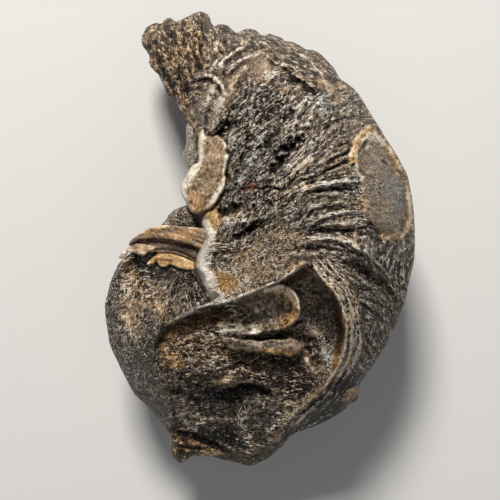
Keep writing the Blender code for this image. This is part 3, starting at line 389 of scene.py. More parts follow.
    ([(-12.1, -21.8), (-10.0, -21.5), (-7.8, -21.3), (-5.6, -21.8)], 0.7, -0.5, -0.14),
    ([(-7.0, -28.6), (-5.4, -29.1), (-3.4, -29.7), (-1.6, -30.2)], 1.3, -0.3, -0.14, -0.5),
    ([(2.2, -24.9), (2.6, -23.6), (3.1, -22.7)], 0.32, 0.1, 0.16, 0.1),
    ([(-1.1, -26.4), (-0.6, -28.3), (0.2, -30.5)], 0.8, 0.4, 0.08),
    # base: pale lines, and dark grooves between them that are painted shade
    ([(-12.8, -29.5), (-10.1, -29.9), (-7.0, -30.6), (-3.9, -31.9)], 0.3, 0.35, 0.2, 0.2),
    ([(-12.4, -31.4), (-9.3, -31.1), (-6.2, -31.6)], 0.26, 0.3, 0.2, 0.2),
    ([(-12.6, -30.5), (-9.6, -30.5), (-6.6, -31.1)], 0.28, -0.4, -0.18, 0.1),
    ([(-11.6, -28.3), (-7.8, -29.5), (-3.7, -30.8)], 0.35, -0.5, -0.16, 0.1),
    ([(-12.9, -26.6), (-13.1, -28.2), (-12.2, -29.3)], 0.35, 0.4, 0.12, 0.3),
    ([(-12.3, -25.0), (-13.1, -26.3), (-13.7, -27.5), (-13.2, -28.9), (-12.6, -30.5)],
        0.2, 0.1, 0.22, 0.1),
    ([(-11.7, -32.8), (-9.6, -32.3), (-7.3, -31.9), (-5.4, -31.9), (-3.6, -31.4)],
        0.28, 0.2, 0.34, 0.2),
    ([(-13.1, -27.8), (-10.3, -28.5), (-7.8, -29.2), (-5.8, -30.5), (-3.7, -31.3)],
        0.5, -0.6, -0.14, 0.2),
    ([(-6.5, -31.6), (-5.1, -31.1), (-3.7, -30.9)], 0.7, 0.3, 0.16, 0.5),
    # flecks of the lobe
    ([(-20.8, -6.4), (-20.4, -5.6), (-19.7, -5.9), (-19.9, -6.8), (-20.7, -7.5)],
        0.26, 0.12, 0.46, 0.1),
    ([(-21.3, -10.6), (-20.4, -10.3), (-19.6, -11.0), (-20.2, -12.0), (-19.3, -12.6)],
        0.36, 0.12, 0.34, 0.4),
    ([(-14.9, -8.7), (-14.3, -9.5)], 0.8, 0.0, 0.14, 0.35),
    ([(-19.9, -2.2), (-19.0, -3.7), (-18.2, -4.7)], 0.9, 0.0, 0.1, 0.25),
    ([(-22.2, -4.5), (-21.6, -3.1), (-20.5, -1.9)], 0.18, 0.05, 0.2, -0.2),
)]
# Strokes run out over a share of their length, except those that are at least BROAD_STROKE wide.
STROKE_TAPER = 0.15
STROKE_WANDER = 0.1
STROKE_WANDER_SHARE = 0.55
BROAD_STROKE = 0.42

# The lip along the base, and the knob low on the right.
BASE_LIP = [
    (-13.2, -28.0), (-12.3, -31.6), (-9.4, -31.6), (-6.8, -31.2), (-3.7, -31.4), (0.3, -32.6),
    (3.0, -31.2),
]
KNOB = [(15.8, -23.2), (16.6, -22.6), (17.4, -22.3)]
KNOB_RISE = 1.5
KNOB_WIDTH = 1.3

# ---- zones of the exposed side

# How a zone looks: softness of its edge, how light and how warm the stone is (about 0 to 1), the
# depth in millimetres of its crumbs, grit, pits and growth lines, and how strongly it is speckled.
Zone = namedtuple("Zone", "name points soft tone warm crumb grit pits lines speckle")

ZONES = [Zone(*row) for row in (
    ("whole", [(-40.0, -45.0), (-40.0, 45.0), (40.0, 45.0), (40.0, -45.0)],
        1.0, 0.4, 0.34, 0.12, 0.1, 0.05, 0.16, 0.75),
    ("lobe_low", [(-24.0, -13.0), (-17.5, -12.0), (-12.0, -12.0), (-11.0, -30.0), (-24.0, -34.0)],
        5.0, 0.33, 0.16, 0.06, 0.05, 0.03, 0.08, 0.95),
    ("lobe_left", [(-25.0, -3.0), (-21.0, -3.2), (-21.2, -8.0), (-21.0, -13.0), (-19.0, -18.0),
        (-26.0, -18.0)], 1.6, 0.33, 0.2, 0.1, 0.07, 0.05, 0.08, 0.95),
    ("lobe_tan", [(-20.4, -4.0), (-16.5, -3.2), (-15.5, -6.5), (-17.0, -10.0), (-18.5, -14.5),
        (-20.6, -13.0), (-20.8, -8.0)], 2.2, 0.48, 0.5, 0.14, 0.13, 0.1, 0.13, 1.0),
    ("lobe_shade", [(-19.1, -0.3), (-16.6, -1.9), (-14.0, -2.8), (-10.0, -2.5), (-8.2, -4.7),
        (-6.8, -7.8), (-8.2, -8.7), (-10.3, -6.5), (-13.4, -5.3), (-16.8, -4.4), (-18.7, -2.5)],
        2.4, 0.2, 0.2, 0.08, 0.08, 0.04, 0.14, 1.1),
    ("rock", [(-14.3, 4.4), (-13.8, 5.9), (-12.6, 7.0), (-10.9, 7.9), (-9.0, 7.9), (-7.6, 7.2),
        (-7.0, 5.9), (-7.3, 4.4), (-9.3, 3.9), (-12.1, 3.9)],
        0.8, 0.52, 0.4, 0.34, 0.14, 0.1, 0.04, 1.1),
    ("tip", [(-19.5, 38.5), (-5.9, 38.5), (-4.4, 31.4), (-6.8, 28.6), (-9.3, 27.7), (-10.3, 24.9),
        (-8.1, 19.9), (-7.0, 17.1), (-10.9, 16.8), (-14.0, 21.5), (-17.4, 26.4), (-19.8, 32.7)],
        1.6, 0.37, 0.66, 0.62, 0.24, 0.2, 0.14, 0.95),
    ("top", [(-6.8, 38.3), (12.4, 34.6), (18.4, 26.8), (11.2, 24.6), (7.8, 26.7), (4.7, 28.9),
        (2.5, 31.3), (-1.6, 29.9), (-4.4, 27.7), (-6.8, 28.6)],
        1.6, 0.36, 0.42, 0.2, 0.12, 0.08, 0.19, 0.85),
    ("cove", [(-4.4, 26.7), (-1.1, 29.5), (2.2, 30.8), (3.4, 29.2), (2.8, 26.4), (1.2, 25.2),
        (-0.9, 24.6), (-2.8, 22.7), (-3.7, 23.9)], 1.2, 0.5, 0.45, 0.03, 0.03, 0.0, 0.04, 0.5),
    ("flap", FLAP, 0.8, 0.5, 0.38, 0.1, 0.08, 0.05, 0.06, 0.9),
    ("rough", [(-3.4, 23.6), (-0.8, 25.8), (1.9, 24.6), (5.4, 26.4), (8.6, 24.1), (12.4, 21.5),
        (13.0, 18.7), (11.0, 14.3), (7.8, 11.5), (5.9, 7.0), (3.1, 4.4), (1.9, 1.6), (-0.6, -0.3),
        (-3.4, 0.6), (-4.8, 3.4), (-5.1, 6.5), (-3.9, 10.0), (-3.4, 13.2), (-3.2, 17.1), (-3.7, 20.5)],
        2.0, 0.36, 0.24, 0.36, 0.2, 0.22, 0.12, 1.25),
    ("rough_right", [(6.0, 25.5), (12.4, 22.5), (14.5, 17.7), (12.0, 13.0), (8.0, 10.5), (6.0, 14.0),
        (6.5, 20.0)], 3.0, 0.43, 0.2, 0.24, 0.12, 0.14, 0.2, 0.8),
    ("under_crack", [(8.0, 11.0), (17.0, 13.6), (18.0, 11.0), (14.0, 11.3), (10.0, 10.6), (4.0, 6.0),
        (5.0, 9.0)], 1.6, 0.5, 0.46, 0.12, 0.08, 0.05, 0.14, 0.8),
    ("flank_folds", [(7.0, 9.0), (18.5, 11.0), (18.5, 5.0), (23.0, 1.5), (26.8, 2.0), (26.5, -9.0),
        (16.0, -5.0), (7.0, 0.0)], 2.0, 0.42, 0.22, 0.12, 0.1, 0.06, 0.17, 0.85),
    # the low right flank is darker, partly its own blue-grey and partly painted shade where it turns away
    # from the light
    ("flank_low", [(16.5, -3.0), (28.0, -2.0), (26.0, -14.0), (20.5, -20.0), (17.0, -16.0),
        (18.0, -9.0)], 3.0, 0.3, 0.36, 0.05, 0.06, 0.02, 0.24, 1.2),
    ("scale", SCALE, 0.3, 0.48, 0.42, 0.04, 0.05, 0.03, 0.04, 0.52),
    ("scale_middle", [(18.8, 12.0), (20.0, 15.0), (22.5, 13.0), (24.4, 9.8), (25.0, 6.6), (23.8, 4.0),
        (21.4, 4.4), (19.6, 7.0)], 1.2, 0.5, 0.24, 0.03, 0.04, 0.02, 0.04, 0.5),
    # painted highlight: a lighter blue-grey sheen on the smooth scale
    ("scale_blue", [(21.6, 10.6), (23.4, 11.0), (24.4, 8.4), (24.2, 5.4), (22.8, 5.6), (22.2, 8.0)],
        1.2, 0.54, 0.06, 0.02, 0.03, 0.0, 0.02, 0.45),
    ("scale_cream", [(18.8, 18.0), (19.9, 18.7), (20.8, 17.9), (21.9, 16.5), (21.3, 15.9), (20.2, 16.8),
        (19.0, 16.8)], 0.5, 0.74, 0.55, 0.1, 0.12, 0.05, 0.05, 1.0),
    ("scale_rust", [(21.9, 16.2), (23.3, 14.6), (24.6, 12.6), (25.3, 10.7), (24.4, 11.0), (23.0, 13.2),
        (21.6, 15.1)], 0.7, 0.42, 0.95, 0.12, 0.12, 0.08, 0.05, 0.9),
    ("scale_rim", [(25.1, 11.2), (26.0, 9.3), (27.2, 7.0), (27.2, 5.0), (26.4, 3.0), (24.9, 1.7),
        (23.0, 1.2), (21.2, 1.5), (21.2, 2.0), (23.0, 1.9), (24.3, 2.4), (25.2, 3.7), (25.7, 5.1),
        (25.8, 7.0), (25.2, 9.2), (24.6, 10.9)], 0.3, 0.52, 1.3, 0.08, 0.12, 0.04, 0.05, 0.9),
    ("scale_gold", [(15.9, 13.8), (16.1, 15.6), (16.8, 16.9), (17.7, 18.0), (18.7, 18.8), (19.4, 19.1),
        (19.9, 18.5), (19.0, 17.7), (18.0, 16.5), (17.5, 15.2), (17.2, 14.0), (16.6, 13.5)],
        0.25, 0.62, 1.15, 0.05, 0.1, 0.02, 0.1, 0.6),
    ("plateau", [(-5.7, -6.8), (-4.6, -2.8), (-1.0, 0.0), (3.0, 2.2), (6.8, 3.4), (8.6, 1.6),
        (9.6, -1.2), (7.8, -3.0), (3.1, -5.0), (-1.6, -6.8)],
        2.0, 0.6, 0.6, 0.08, 0.1, 0.06, 0.08, 0.9),
    ("spot_crust", [(-7.0, -2.5), (-5.6, -3.1), (-3.7, -2.8), (-1.6, -3.4), (0.3, -4.7), (-0.3, -6.2),
        (-2.2, -7.2), (-4.4, -7.9), (-6.1, -7.5), (-7.3, -5.6)],
        0.8, 0.76, 0.52, 0.16, 0.12, 0.1, 0.03, 1.0),
    ("gold_spot", [(-5.2, -3.9), (-3.6, -3.6), (-2.2, -4.3), (-2.2, -5.6), (-3.4, -6.6), (-5.0, -6.3)],
        1.3, 0.58, 1.2, 0.04, 0.03, 0.02, 0.0, 0.35),
    ("band", [(9.8, -1.6), (12.0, -1.2), (15.0, -3.5), (17.0, -6.5), (18.2, -10.0), (18.4, -14.0),
        (17.4, -18.0), (14.5, -22.0), (10.0, -26.0), (5.5, -29.5), (5.0, -28.5), (11.8, -21.9),
        (15.1, -16.9), (15.7, -14.2), (14.8, -9.2), (12.6, -5.6), (10.7, -3.4)],
        1.4, 0.74, 0.6, 0.05, 0.06, 0.03, 0.26, 1.3),
    # painted shade: the skirt along the low right edge is nearly black
    ("skirt", [(14.6, -20.0), (18.6, -20.0), (19.0, -24.5), (8.4, -30.2), (2.0, -34.0), (5.4, -29.2),
        (9.0, -26.2)], 2.2, 0.08, 0.12, 0.04, 0.05, 0.02, 0.24, 0.9),
    ("knob_tan", [(14.8, -23.5), (15.6, -22.2), (16.6, -21.5), (17.7, -21.5), (18.2, -22.1),
        (17.4, -23.0), (16.2, -23.6), (15.2, -23.9)], 0.4, 0.6, 0.95, 0.16, 0.1, 0.06, 0.06, 0.9),
    ("cup_right", [(8.6, -3.0), (13.6, -7.0), (15.5, -12.0), (14.8, -17.0), (11.5, -19.0), (8.5, -15.0),
        (8.0, -8.0)], 1.0, 0.5, 0.34, 0.2, 0.1, 0.06, 0.04, 0.9),
    ("rim_amber", [(13.2, -6.4), (14.6, -9.4), (15.3, -12.0), (15.4, -14.4), (14.6, -17.2),
        (13.0, -19.0), (14.2, -14.4), (13.6, -10.0)], 0.8, 0.31, 0.95, 0.03, 0.03, 0.0, 0.03, 0.5),
    ("lip_amber", [(3.6, -5.8), (6.0, -4.6), (8.6, -3.0), (9.6, -2.6), (10.4, -3.6), (9.0, -4.4),
        (6.6, -5.2), (4.6, -5.8)], 0.6, 0.32, 0.8, 0.02, 0.02, 0.0, 0.02, 0.4),
    ("matrix", [(-14.6, -15.2), (-11.5, -12.4), (-5.4, -13.6), (-2.8, -15.9), (7.8, -16.8),
        (11.7, -20.2), (10.6, -23.0), (4.0, -22.4), (-1.9, -20.2), (-7.8, -22.1), (-12.1, -21.9),
        (-14.0, -18.0)], 1.4, 0.37, 0.48, 0.36, 0.18, 0.1, 0.13, 1.1),
    ("matrix_dark", [(-2.5, -16.6), (8.6, -16.8), (11.0, -19.6), (10.4, -23.0), (4.5, -22.0),
        (0.0, -20.4), (-2.0, -18.6)], 1.6, 0.1, 0.5, 0.34, 0.12, 0.08, 0.13, 1.3),
    ("matrix_amber", [(-14.2, -16.4), (-12.2, -15.8), (-10.4, -17.4), (-11.2, -18.8), (-13.8, -18.0)],
        1.0, 0.4, 0.78, 0.3, 0.12, 0.08, 0.08, 1.2),
    # partly painted shade: the stone under the lip is amber, and darker as shade
    ("under_lip", [(-14.0, -12.8), (-11.0, -10.6), (-4.4, -9.0), (-3.8, -11.6), (-8.4, -12.4),
        (-12.6, -14.4)], 0.8, 0.26, 0.85, 0.06, 0.05, 0.02, 0.06, 0.6),
    # painted shade: the pocket is nearly black
    ("pocket", [(-9.5, -22.6), (-5.4, -21.9), (-2.3, -20.9), (0.8, -20.6), (3.1, -21.4), (4.0, -22.6),
        (0.0, -23.4), (-4.0, -24.0), (-8.0, -25.4)], 1.6, 0.12, 0.25, 0.12, 0.06, 0.05, 0.1, 1.2),
    ("floor_bulge", [(-6.5, -24.0), (-2.0, -23.4), (2.0, -22.6), (4.6, -24.0), (3.6, -27.0),
        (1.0, -29.6), (-3.0, -28.0), (-6.5, -26.6)], 1.8, 0.28, 0.2, 0.12, 0.08, 0.03, 0.08, 0.9),
    ("blue", [(-8.0, -27.6), (-4.4, -27.1), (-1.6, -28.6), (-2.6, -30.4), (-6.2, -30.2)],
        1.2, 0.1, 0.0, 0.05, 0.06, 0.0, 0.0, 0.9),
    ("base", [(-13.4, -27.4), (-10.5, -27.8), (-6.5, -29.6), (-3.0, -31.0), (1.0, -31.6), (3.0, -30.6),
        (4.0, -34.0), (-14.0, -34.0)], 0.8, 0.14, 0.95, 0.28, 0.12, 0.08, 0.14, 1.0),
    ("web", [(8.2, -16.0), (9.4, -15.2), (11.6, -18.4), (13.2, -19.6), (11.8, -21.6), (9.2, -23.6),
        (8.6, -23.0), (10.8, -20.4)], 0.6, 0.42, 0.5, 0.12, 0.08, 0.03, 0.0, 0.9),
    ("hinge", [(-7.6, 4.7), (-7.5, 3.1), (-7.5, 1.6), (-8.1, 0.3), (-8.6, -0.9), (-8.6, -2.2),
        (-8.2, -3.3), (-7.9, -4.5), (-7.5, -5.8), (-6.9, -6.8), (-6.1, -7.8), (-4.4, -8.1),
        (-4.2, -7.2), (-4.8, -6.1), (-5.3, -5.1), (-5.8, -3.9), (-6.3, -2.6), (-6.5, -1.2), (-6.1, 0.0),
        (-5.8, 1.4), (-5.4, 2.8), (-5.0, 4.4), (-6.1, 4.7)],
        0.6, 1.2, 0.42, 0.24, 0.12, 0.2, 0.04, 0.8),
    ("hinge_gold", [(-7.3, 5.9), (-6.4, 6.5), (-5.0, 6.7), (-4.7, 5.3), (-5.1, 3.6), (-5.8, 3.0),
        (-6.4, 4.0), (-7.0, 5.0)], 0.5, 0.62, 1.05, 0.06, 0.05, 0.0, 0.0, 0.5),
)]

# ---- lines and distances in plan

# Millimetres below which a line has no length.
NO_LENGTH = 1e-6


def smooth_line(points, closed, per_span=4):
    """Points of a Catmull-Rom curve through the drawn points."""
    p = np.array(points, float)
    if closed:
        ring = np.vstack([p[-1], p, p[0], p[1]])
    else:
        ring = np.vstack([2 * p[0] - p[1], p, 2 * p[-1] - p[-2]])
    made = []
    for i in range(1, len(ring) - 2):
        a, b, c, d = ring[i - 1 : i + 3]
        square, cube = 2 * a - 5 * b + 4 * c - d, 3 * b - a - 3 * c + d
        for t in np.arange(per_span) / per_span:
            made.append(0.5 * (2 * b + (c - a) * t + square * t**2 + cube * t**3))
    if not closed:
        made.append(ring[-2])
    return np.array(made)


def is_inside(loop, x, y):
    """Even-odd test of each (x, y) against a closed loop."""
    inside = np.zeros(x.shape, bool)
    for (ax, ay), (bx, by) in zip(loop, np.roll(loop, -1, axis=0)):
        crosses = (ay > y) != (by > y)
        if ay != by:
            inside ^= crosses & (x < (bx - ax) * (y - ay) / (by - ay) + ax)
    return inside


def nearest(line, x, y):
    """For each (x, y): its distance to the line, the nearest point, its side of the line (1 is
    the right), and how far along the line that point is, in millimetres."""
    best = np.full(x.shape, np.inf)
    near_x, near_y, side, run = (np.zeros(x.shape) for _ in range(4))
    start = 0.0
    for (ax, ay), (bx, by) in zip(line[:-1], line[1:]):
        dx, dy = bx - ax, by - ay
        length = math.hypot(dx, dy)
        if length < NO_LENGTH:
            continue
        t = np.clip(((x - ax) * dx + (y - ay) * dy) / length**2, 0, 1)
        px, py = ax + t * dx, ay + t * dy
        gap = (x - px) ** 2 + (y - py) ** 2
        closer = gap < best
        best[closer] = gap[closer]
        near_x[closer], near_y[closer] = px[closer], py[closer]
        side[closer] = np.sign((x - ax) * dy - (y - ay) * dx)[closer]
        run[closer] = (start + t * length)[closer]
        start += length
    return np.sqrt(best), near_x, near_y, side, run


def near_box(line, x, y, reach):
    """Which nodes lie within reach of the box round a line."""
    low, high = line.min(axis=0) - reach, line.max(axis=0) + reach
    return (x > low[0]) & (x < high[0]) & (y > low[1]) & (y < high[1])


def depth_inside(points, x, y, reach=5.0):
    """Distance in from a drawn outline: positive inside, negative outside, and -reach far away."""
    loop = smooth_line(points, closed=True)
    depth = np.full(x.shape, -reach)
    here = near_box(loop, x, y, reach)
    px, py = x[here], y[here]
    gap = nearest(np.vstack([loop, loop[:1]]), px, py)[0]
    depth[here] = np.where(is_inside(loop, px, py), gap, -gap)
    return depth


def along(path, x, y, reach=6.0):
    """Distance from an open path, positive on its right and reach far away, and the share of
    the path up to the nearest point."""
    curve = smooth_line(path, closed=False)
    side = np.full(x.shape, reach)
    share = np.zeros(x.shape)
    here = near_box(curve, x, y, reach)
    gap, _, _, hand, run = nearest(curve, x[here], y[here])
    side[here] = gap * hand
    share[here] = run / np.hypot(*np.diff(curve, axis=0).T).sum()
    return side, share


def spot_surface(spots, x, y):
    """Height of the smooth thin-plate surface through (x, y, height) spots."""
    p = np.array(spots, float)
    flat = np.column_stack([np.ones(len(p)), p[:, :2]])

    def bend(r2):
        return 0.5 * r2 * np.log(r2 + 1e-9)

    r2 = ((p[:, None, :2] - p[None, :, :2]) ** 2).sum(-1)
    left = np.block([[bend(r2), flat], [flat.T, np.zeros((3, 3))]])
    weights = np.linalg.solve(left, np.concatenate([p[:, 2], np.zeros(3)]))
    z = weights[-3] + weights[-2] * x + weights[-1] * y
    for w, (sx, sy) in zip(weights, p[:, :2]):
        z = z + w * bend((x - sx) ** 2 + (y - sy) ** 2)
    return z


def quarter_round(d, radius):
    """0 at an edge, rising as a quarter circle to 1 at radius from it."""
    return np.sqrt(1 - (1 - np.clip(d / radius, 0, 1)) ** 2)


def soft_step(d, width):
    """0 outside an edge, 1 inside it, over the given width."""
    t = np.clip(d / width + 0.5, 0, 1)
    return t * t * (3 - 2 * t)


def ridge(x, y, path, rise, width, taper=0.0):
    """A rounded ridge along a path, run out over a share of its length at both ends."""
    gap, share = along(path, x, y, reach=4 * width)
    ends = np.clip(np.minimum(share, 1 - share) / taper, 0, 1) if taper else 1.0
    return rise * ends * np.exp(-((gap / width) ** 2))


def scarp(x, y, path, drop, reach, width):
    """A broken layer's edge: a drop on the path's right, which comes back over reach."""
    side, share = along(path, x, y, reach=3 * reach)
    ends = soft_step(np.minimum(share, 1 - share) / EDGE_TAPER - 0.5, 1.0)
    return -drop * ends * soft_step(side, width) * np.exp(-np.clip(side, 0, None) / reach)


# ---- irregularity

# Odd numbers that scramble the bits of a place and of its salt.
PRIMES = (374761393, 668265263, 2246822519)
SCRAMBLER = 2654435761
SALT_STRIDE = 40503
SALT_START = 977
# These bring noise, and the crests made of it, to between about -1 and 1.
NOISE_GAIN = 1.9
CREST_GAIN = 2.4
# How far a scattered point lies from the middle of its cell, as a share of the cell.
SCATTER = 0.45
LEAST_WEIGHT = 0.02


def hashed(cells, salt):
    """A fixed value between -1 and 1 for each whole-number place, different for each salt."""
    h = np.full(cells[0].shape, salt * SALT_STRIDE + SALT_START, np.uint32)
    for cell, prime in zip(cells, PRIMES):
        h = h ^ (cell.astype(np.uint32) * np.uint32(prime))
        h = (h ^ (h >> np.uint32(15))) * np.uint32(SCRAMBLER)
    h = h ^ (h >> np.uint32(13))
    return h / 2.0**31 - 1.0


def noise(place, salt=0):
    """Smooth noise between about -1 and 1, with one lump a unit, in two or three dimensions."""
    place = np.broadcast_arrays(*place)
    cells = [np.floor(p).astype(np.int64) for p in place]
    parts = [p - c for p, c in zip(place, cells)]
    eased = [t * t * t * (t * (t * 6 - 15) + 10) for t in parts]
    total = np.zeros(place[0].shape)
    for corner in itertools.product((0, 1), repeat=len(place)):
        spot = [c + step for c, step in zip(cells, corner)]
        weight, slope = 1.0, 0.0
        for axis, step in enumerate(corner):
            weight = weight * (eased[axis] if step else 1 - eased[axis])
            slope = slope + hashed(spot, salt * 7 + axis) * (parts[axis] - step)
        total += weight * slope
    return NOISE_GAIN * total


def fractal(place, size, octaves, salt=0, fade=0.55, shape=lambda level: level):
    """Noise with lumps of a size, of each half of it, and so on, fading. Shape changes each level."""
    total, strength, whole = 0.0, 1.0, 0.0
    for octave in range(octaves):
        level = noise([p * 2.0**octave / size for p in place], salt + octave)
        total = total + strength * shape(level)
        whole += strength
        strength *= fade
    return total / whole


def ridged(place, size, octaves, salt=0, fade=0.6):
    """Sharp crests between rounded hollows, between about -1 and 1."""
    return fractal(place, size, octaves, salt, fade, shape=lambda level: 1 - CREST_GAIN * np.abs(level))


def scattered(x, y, size, salt=0):
    """Distance to the nearest of points scattered about size apart, as a share of size, and a fixed
    value for it."""
    px, py = x / size, y / size
    cx, cy = np.floor(px).astype(np.int64), np.floor(py).astype(np.int64)
    best = np.full(x.shape, np.inf)
    value = np.zeros(x.shape)
    for i, j in itertools.product((-1, 0, 1), repeat=2):
        cell = [cx + i, cy + j]
        gap_x = cell[0] + 0.5 + SCATTER * hashed(cell, salt) - px
        gap_y = cell[1] + 0.5 + SCATTER * hashed(cell, salt + 1) - py
        gap = np.hypot(gap_x, gap_y)
        closer = gap < best
        best[closer] = gap[closer]
        value[closer] = hashed(cell, salt + 2)[closer]
    return best, value


def wavering(x, y, size, salt):
    """Two fields between about -1 and 1 that move drawn lines off their smooth course."""
    return fractal((x, y), size, 3, salt), fractal((x, y), size, 3, salt + 4)


def patchy(level, middle, gain, least, most):
    """A strength that varies with a noise, between its least and its most."""
    return np.clip(middle + gain * level, least, most)


def blurred(field, weight, radius):
    """The field averaged over about radius nodes, counting each node by its weight."""
    rows = np.fft.fftfreq(field.shape[0])[:, None]
    columns = np.fft.rfftfreq(field.shape[1])
    keep = np.exp(-2 * (math.pi * radius) ** 2 * (rows**2 + columns**2))

    def spread(values):
        return np.fft.irfft2(np.fft.rfft2(values) * keep, s=field.shape)

    return spread(field * weight) / np.maximum(spread(weight), LEAST_WEIGHT)


# ---- the exposed side

# The edge of a zone wanders by this much, and by a share of its softness, and is ragged.
ZONE_WANDER = 0.25
ZONE_WANDER_SHARE = 0.5
SOFTEST_WANDER = 2.0
ZONE_RAG = 0.3

# Direction of the grain of each part.
ROUGH_GRAIN = math.radians(43.0)
TIP_GRAIN = math.radians(-62.0)
TOP_GRAIN = math.radians(-24.0)
COVE_GRAIN = math.radians(56.0)
FLOOR_GRAIN = math.radians(4.0)
GRAIN_WANDER = 0.5
LOBE_GRAIN_WANDER = 0.22
ROUGH_SALT = 33

# The floor of the aperture runs out gently along its edge, most gently below LOW_EDGE.
EDGE_EASE = 0.9
LOW_EDGE_EASE = 2.4
LOW_EDGE = -23.0
LOW_EDGE_BLEND = 6.0

# Strength of the lumps and splinters of the rough middle, and of pits and lines everywhere.
LUMP_SHARE = 0.6
SPLINTER_SHARE = 0.6
PIT_GAIN = 2.0
LINE_GAIN = 1.8
LOBE_LINE_LOSS = 0.65
# Size and salt of the small and of the large pits, and how wide their mouths are.
PITS = ((0.75, 41), (1.7, 47))
PIT_WANDER = 0.7
PIT_MOUTH = 0.1
PIT_MOUTH_RANGE = 0.3

# What counts in the painted highlight on crests and painted shade in pits, and over how many
# nodes it is taken.
STROKE_SHARE = 0.5
FOLD_SHARE = 0.3
FINE_NODES = 2.0
BROAD_NODES = (1.0, 6.0)
FINE_GAIN = 8.0
BROAD_GAIN = 2.0
CRUMB_EVENING = 4.0
LINED_SHARE = 3.6
MOST_LINED = 0.6

# The side that lies down.
BACK_ROUNDING = 14.0
COIL_MIDDLE = (-6.5, 4.5)
COIL_RADIUS = 20.0
COIL_REACH = 13.0
COIL_BLEND = 12.0
COIL_WANDER = 0.08
BACK_FOLD_RISE = 1.8
BACK_LINE_RISE = 0.5
BACK_LUMP_RISE = 0.3
BACK_NODES = 3.0
BACK_GAIN = 2.0
BACK_TONE = 0.36
BACK_TONE_RANGE = 0.16
BACK_WARM = 0.24
BACK_WARM_RANGE = 0.35
BACK_LINED = 0.2
BACK_LINED_RANGE = 0.5
BACK_CRUMB = 0.12
BACK_SPECKLE = 0.75

# The grain of a part: how much of each node it covers, its run, the spacing and length of its
# lines, and a salt. The run is the same all along a line, in millimetres across the lines.
Grain = namedtuple("Grain", "share run spacing length salt")


def zone_shares(x, y):
    """How much of each zone covers each node. Their edges wander, the soft ones most."""
    wave_x, wave_y = wavering(x, y, size=4.0, salt=11)
    rag_x, rag_y = wavering(x, y, size=0.9, salt=121)
    shares = {}
    for zone in ZONES:
        wander = ZONE_WANDER + ZONE_WANDER_SHARE * min(zone.soft, SOFTEST_WANDER)
        moved_x = x + wander * wave_x + ZONE_RAG * rag_x
        moved_y = y + wander * wave_y + ZONE_RAG * rag_y
        shares[zone.name] = soft_step(depth_inside(zone.points, moved_x, moved_y), zone.soft)
    return shares


def laid_over(shares, quality):
    """One quality of the zones, each laid over those before it."""
    value = 0.0
    for zone in ZONES:
        value = value + (getattr(zone, quality) - value) * shares[zone.name]
    return value


def flank_level(x, y):
    """How far down the flank each node lies, led by the folds."""
    spots = [(px, py, fold.level) for fold in FOLDS for px, py in fold.path]
    return spot_surface(spots, x, y)


def waist_height(x, y):
    """Height of the line where the exposed side meets the buried one."""
    left = np.clip(-x / HALF_WIDTH, 0, 1)
    return WAIST_MIDDLE - WAIST_DROOP * (y / HALF_LENGTH) ** 2 - LOBE_DROOP * left**2


def across(x, y, direction, salt):
    """Distance across a wavering grain that runs in the given direction."""
    wander = GRAIN_WANDER * fractal((x, y), 2.0, 2, salt)
    return y * math.cos(direction) - x * math.sin(direction) + wander


def grain_fields(x, y, shares, on_lobe, sunk):
    """The grain of each part. Each covers those before it."""
    outside_lip = -depth_inside(APERTURE, x, y, reach=12.0)
    turn = np.arctan2(y - LOBE_HINGE[1], x - LOBE_HINGE[0])
    turn = turn + LOBE_GRAIN_WANDER * fractal((x, y), 5.0, 3, 3)
    in_band = np.maximum(shares["band"], shares["skirt"])
    middle = np.maximum(shares["rough"], shares["plateau"])
    return [
        Grain(np.ones(x.shape), flank_level(x, y), 0.7, 4.0, 21),
        Grain(shares["top"], across(x, y, TOP_GRAIN, 19), 0.8, 3.0, 20),
        Grain(middle, across(x, y, ROUGH_GRAIN, ROUGH_SALT), 0.6, 2.6, 23),
        Grain(shares["cove"], across(x, y, COVE_GRAIN, 34), 0.6, 3.0, 24),
        Grain(shares["tip"], across(x, y, TIP_GRAIN, 39), 0.7, 2.4, 27),
        Grain(on_lobe, LOBE_RADIUS * turn, 0.6, 2.2, 29),
        Grain(in_band, outside_lip, 0.6, 7.0, 25),
        Grain(sunk, across(x, y, FLOOR_GRAIN, 105), 0.8, 3.0, 107),
    ]


def fine_lines(run, x, y, spacing, length, salt):
    """Fine growth lines along a run."""
    return fractal((run, x * spacing / length, y * spacing / length), spacing, 3, salt, fade=0.6)


def lines_and_run(x, y, fields):
    """The fine lines of all the grain fields, and the run of the one that covers each node."""
    lines, run = np.zeros(x.shape), np.zeros(x.shape)
    for grain in fields:
        own_lines = fine_lines(grain.run, x, y, grain.spacing, grain.length, grain.salt)
        lines = lines + (own_lines - lines) * grain.share
        run = np.where(grain.share > 0.5, grain.run, run)
    return lines, run


def aperture_floor(x, y):
    """Height of the aperture's floor, with the ribs that stand out of it."""
    lens = RIB_LENS_RISE * soft_step(depth_inside(RIB_LENS, x, y), width=0.8)
    return spot_surface(FLOOR_SPOTS, x, y) + ridge(x, y, RIB, RIB_RISE, RIB_WIDTH) + lens


def aperture_share(x, y):
    """How far each node lies on the aperture's floor, which starts steeply only under the lip."""
    depth = depth_inside(APERTURE, x, y, reach=12.0)
    under_lip = 1 - np.exp(-np.abs(along(LIP, x, y, reach=20.0)[0]) / FLOOR_REACH)
    from_rest = np.abs(along(APERTURE_REST, x, y, reach=20.0)[0])
    ease = EDGE_EASE + LOW_EDGE_EASE * soft_step(LOW_EDGE - y, LOW_EDGE_BLEND)
    return np.where(depth > 0, under_lip * soft_step(from_rest / ease - 0.5, width=1.0), 0.0)


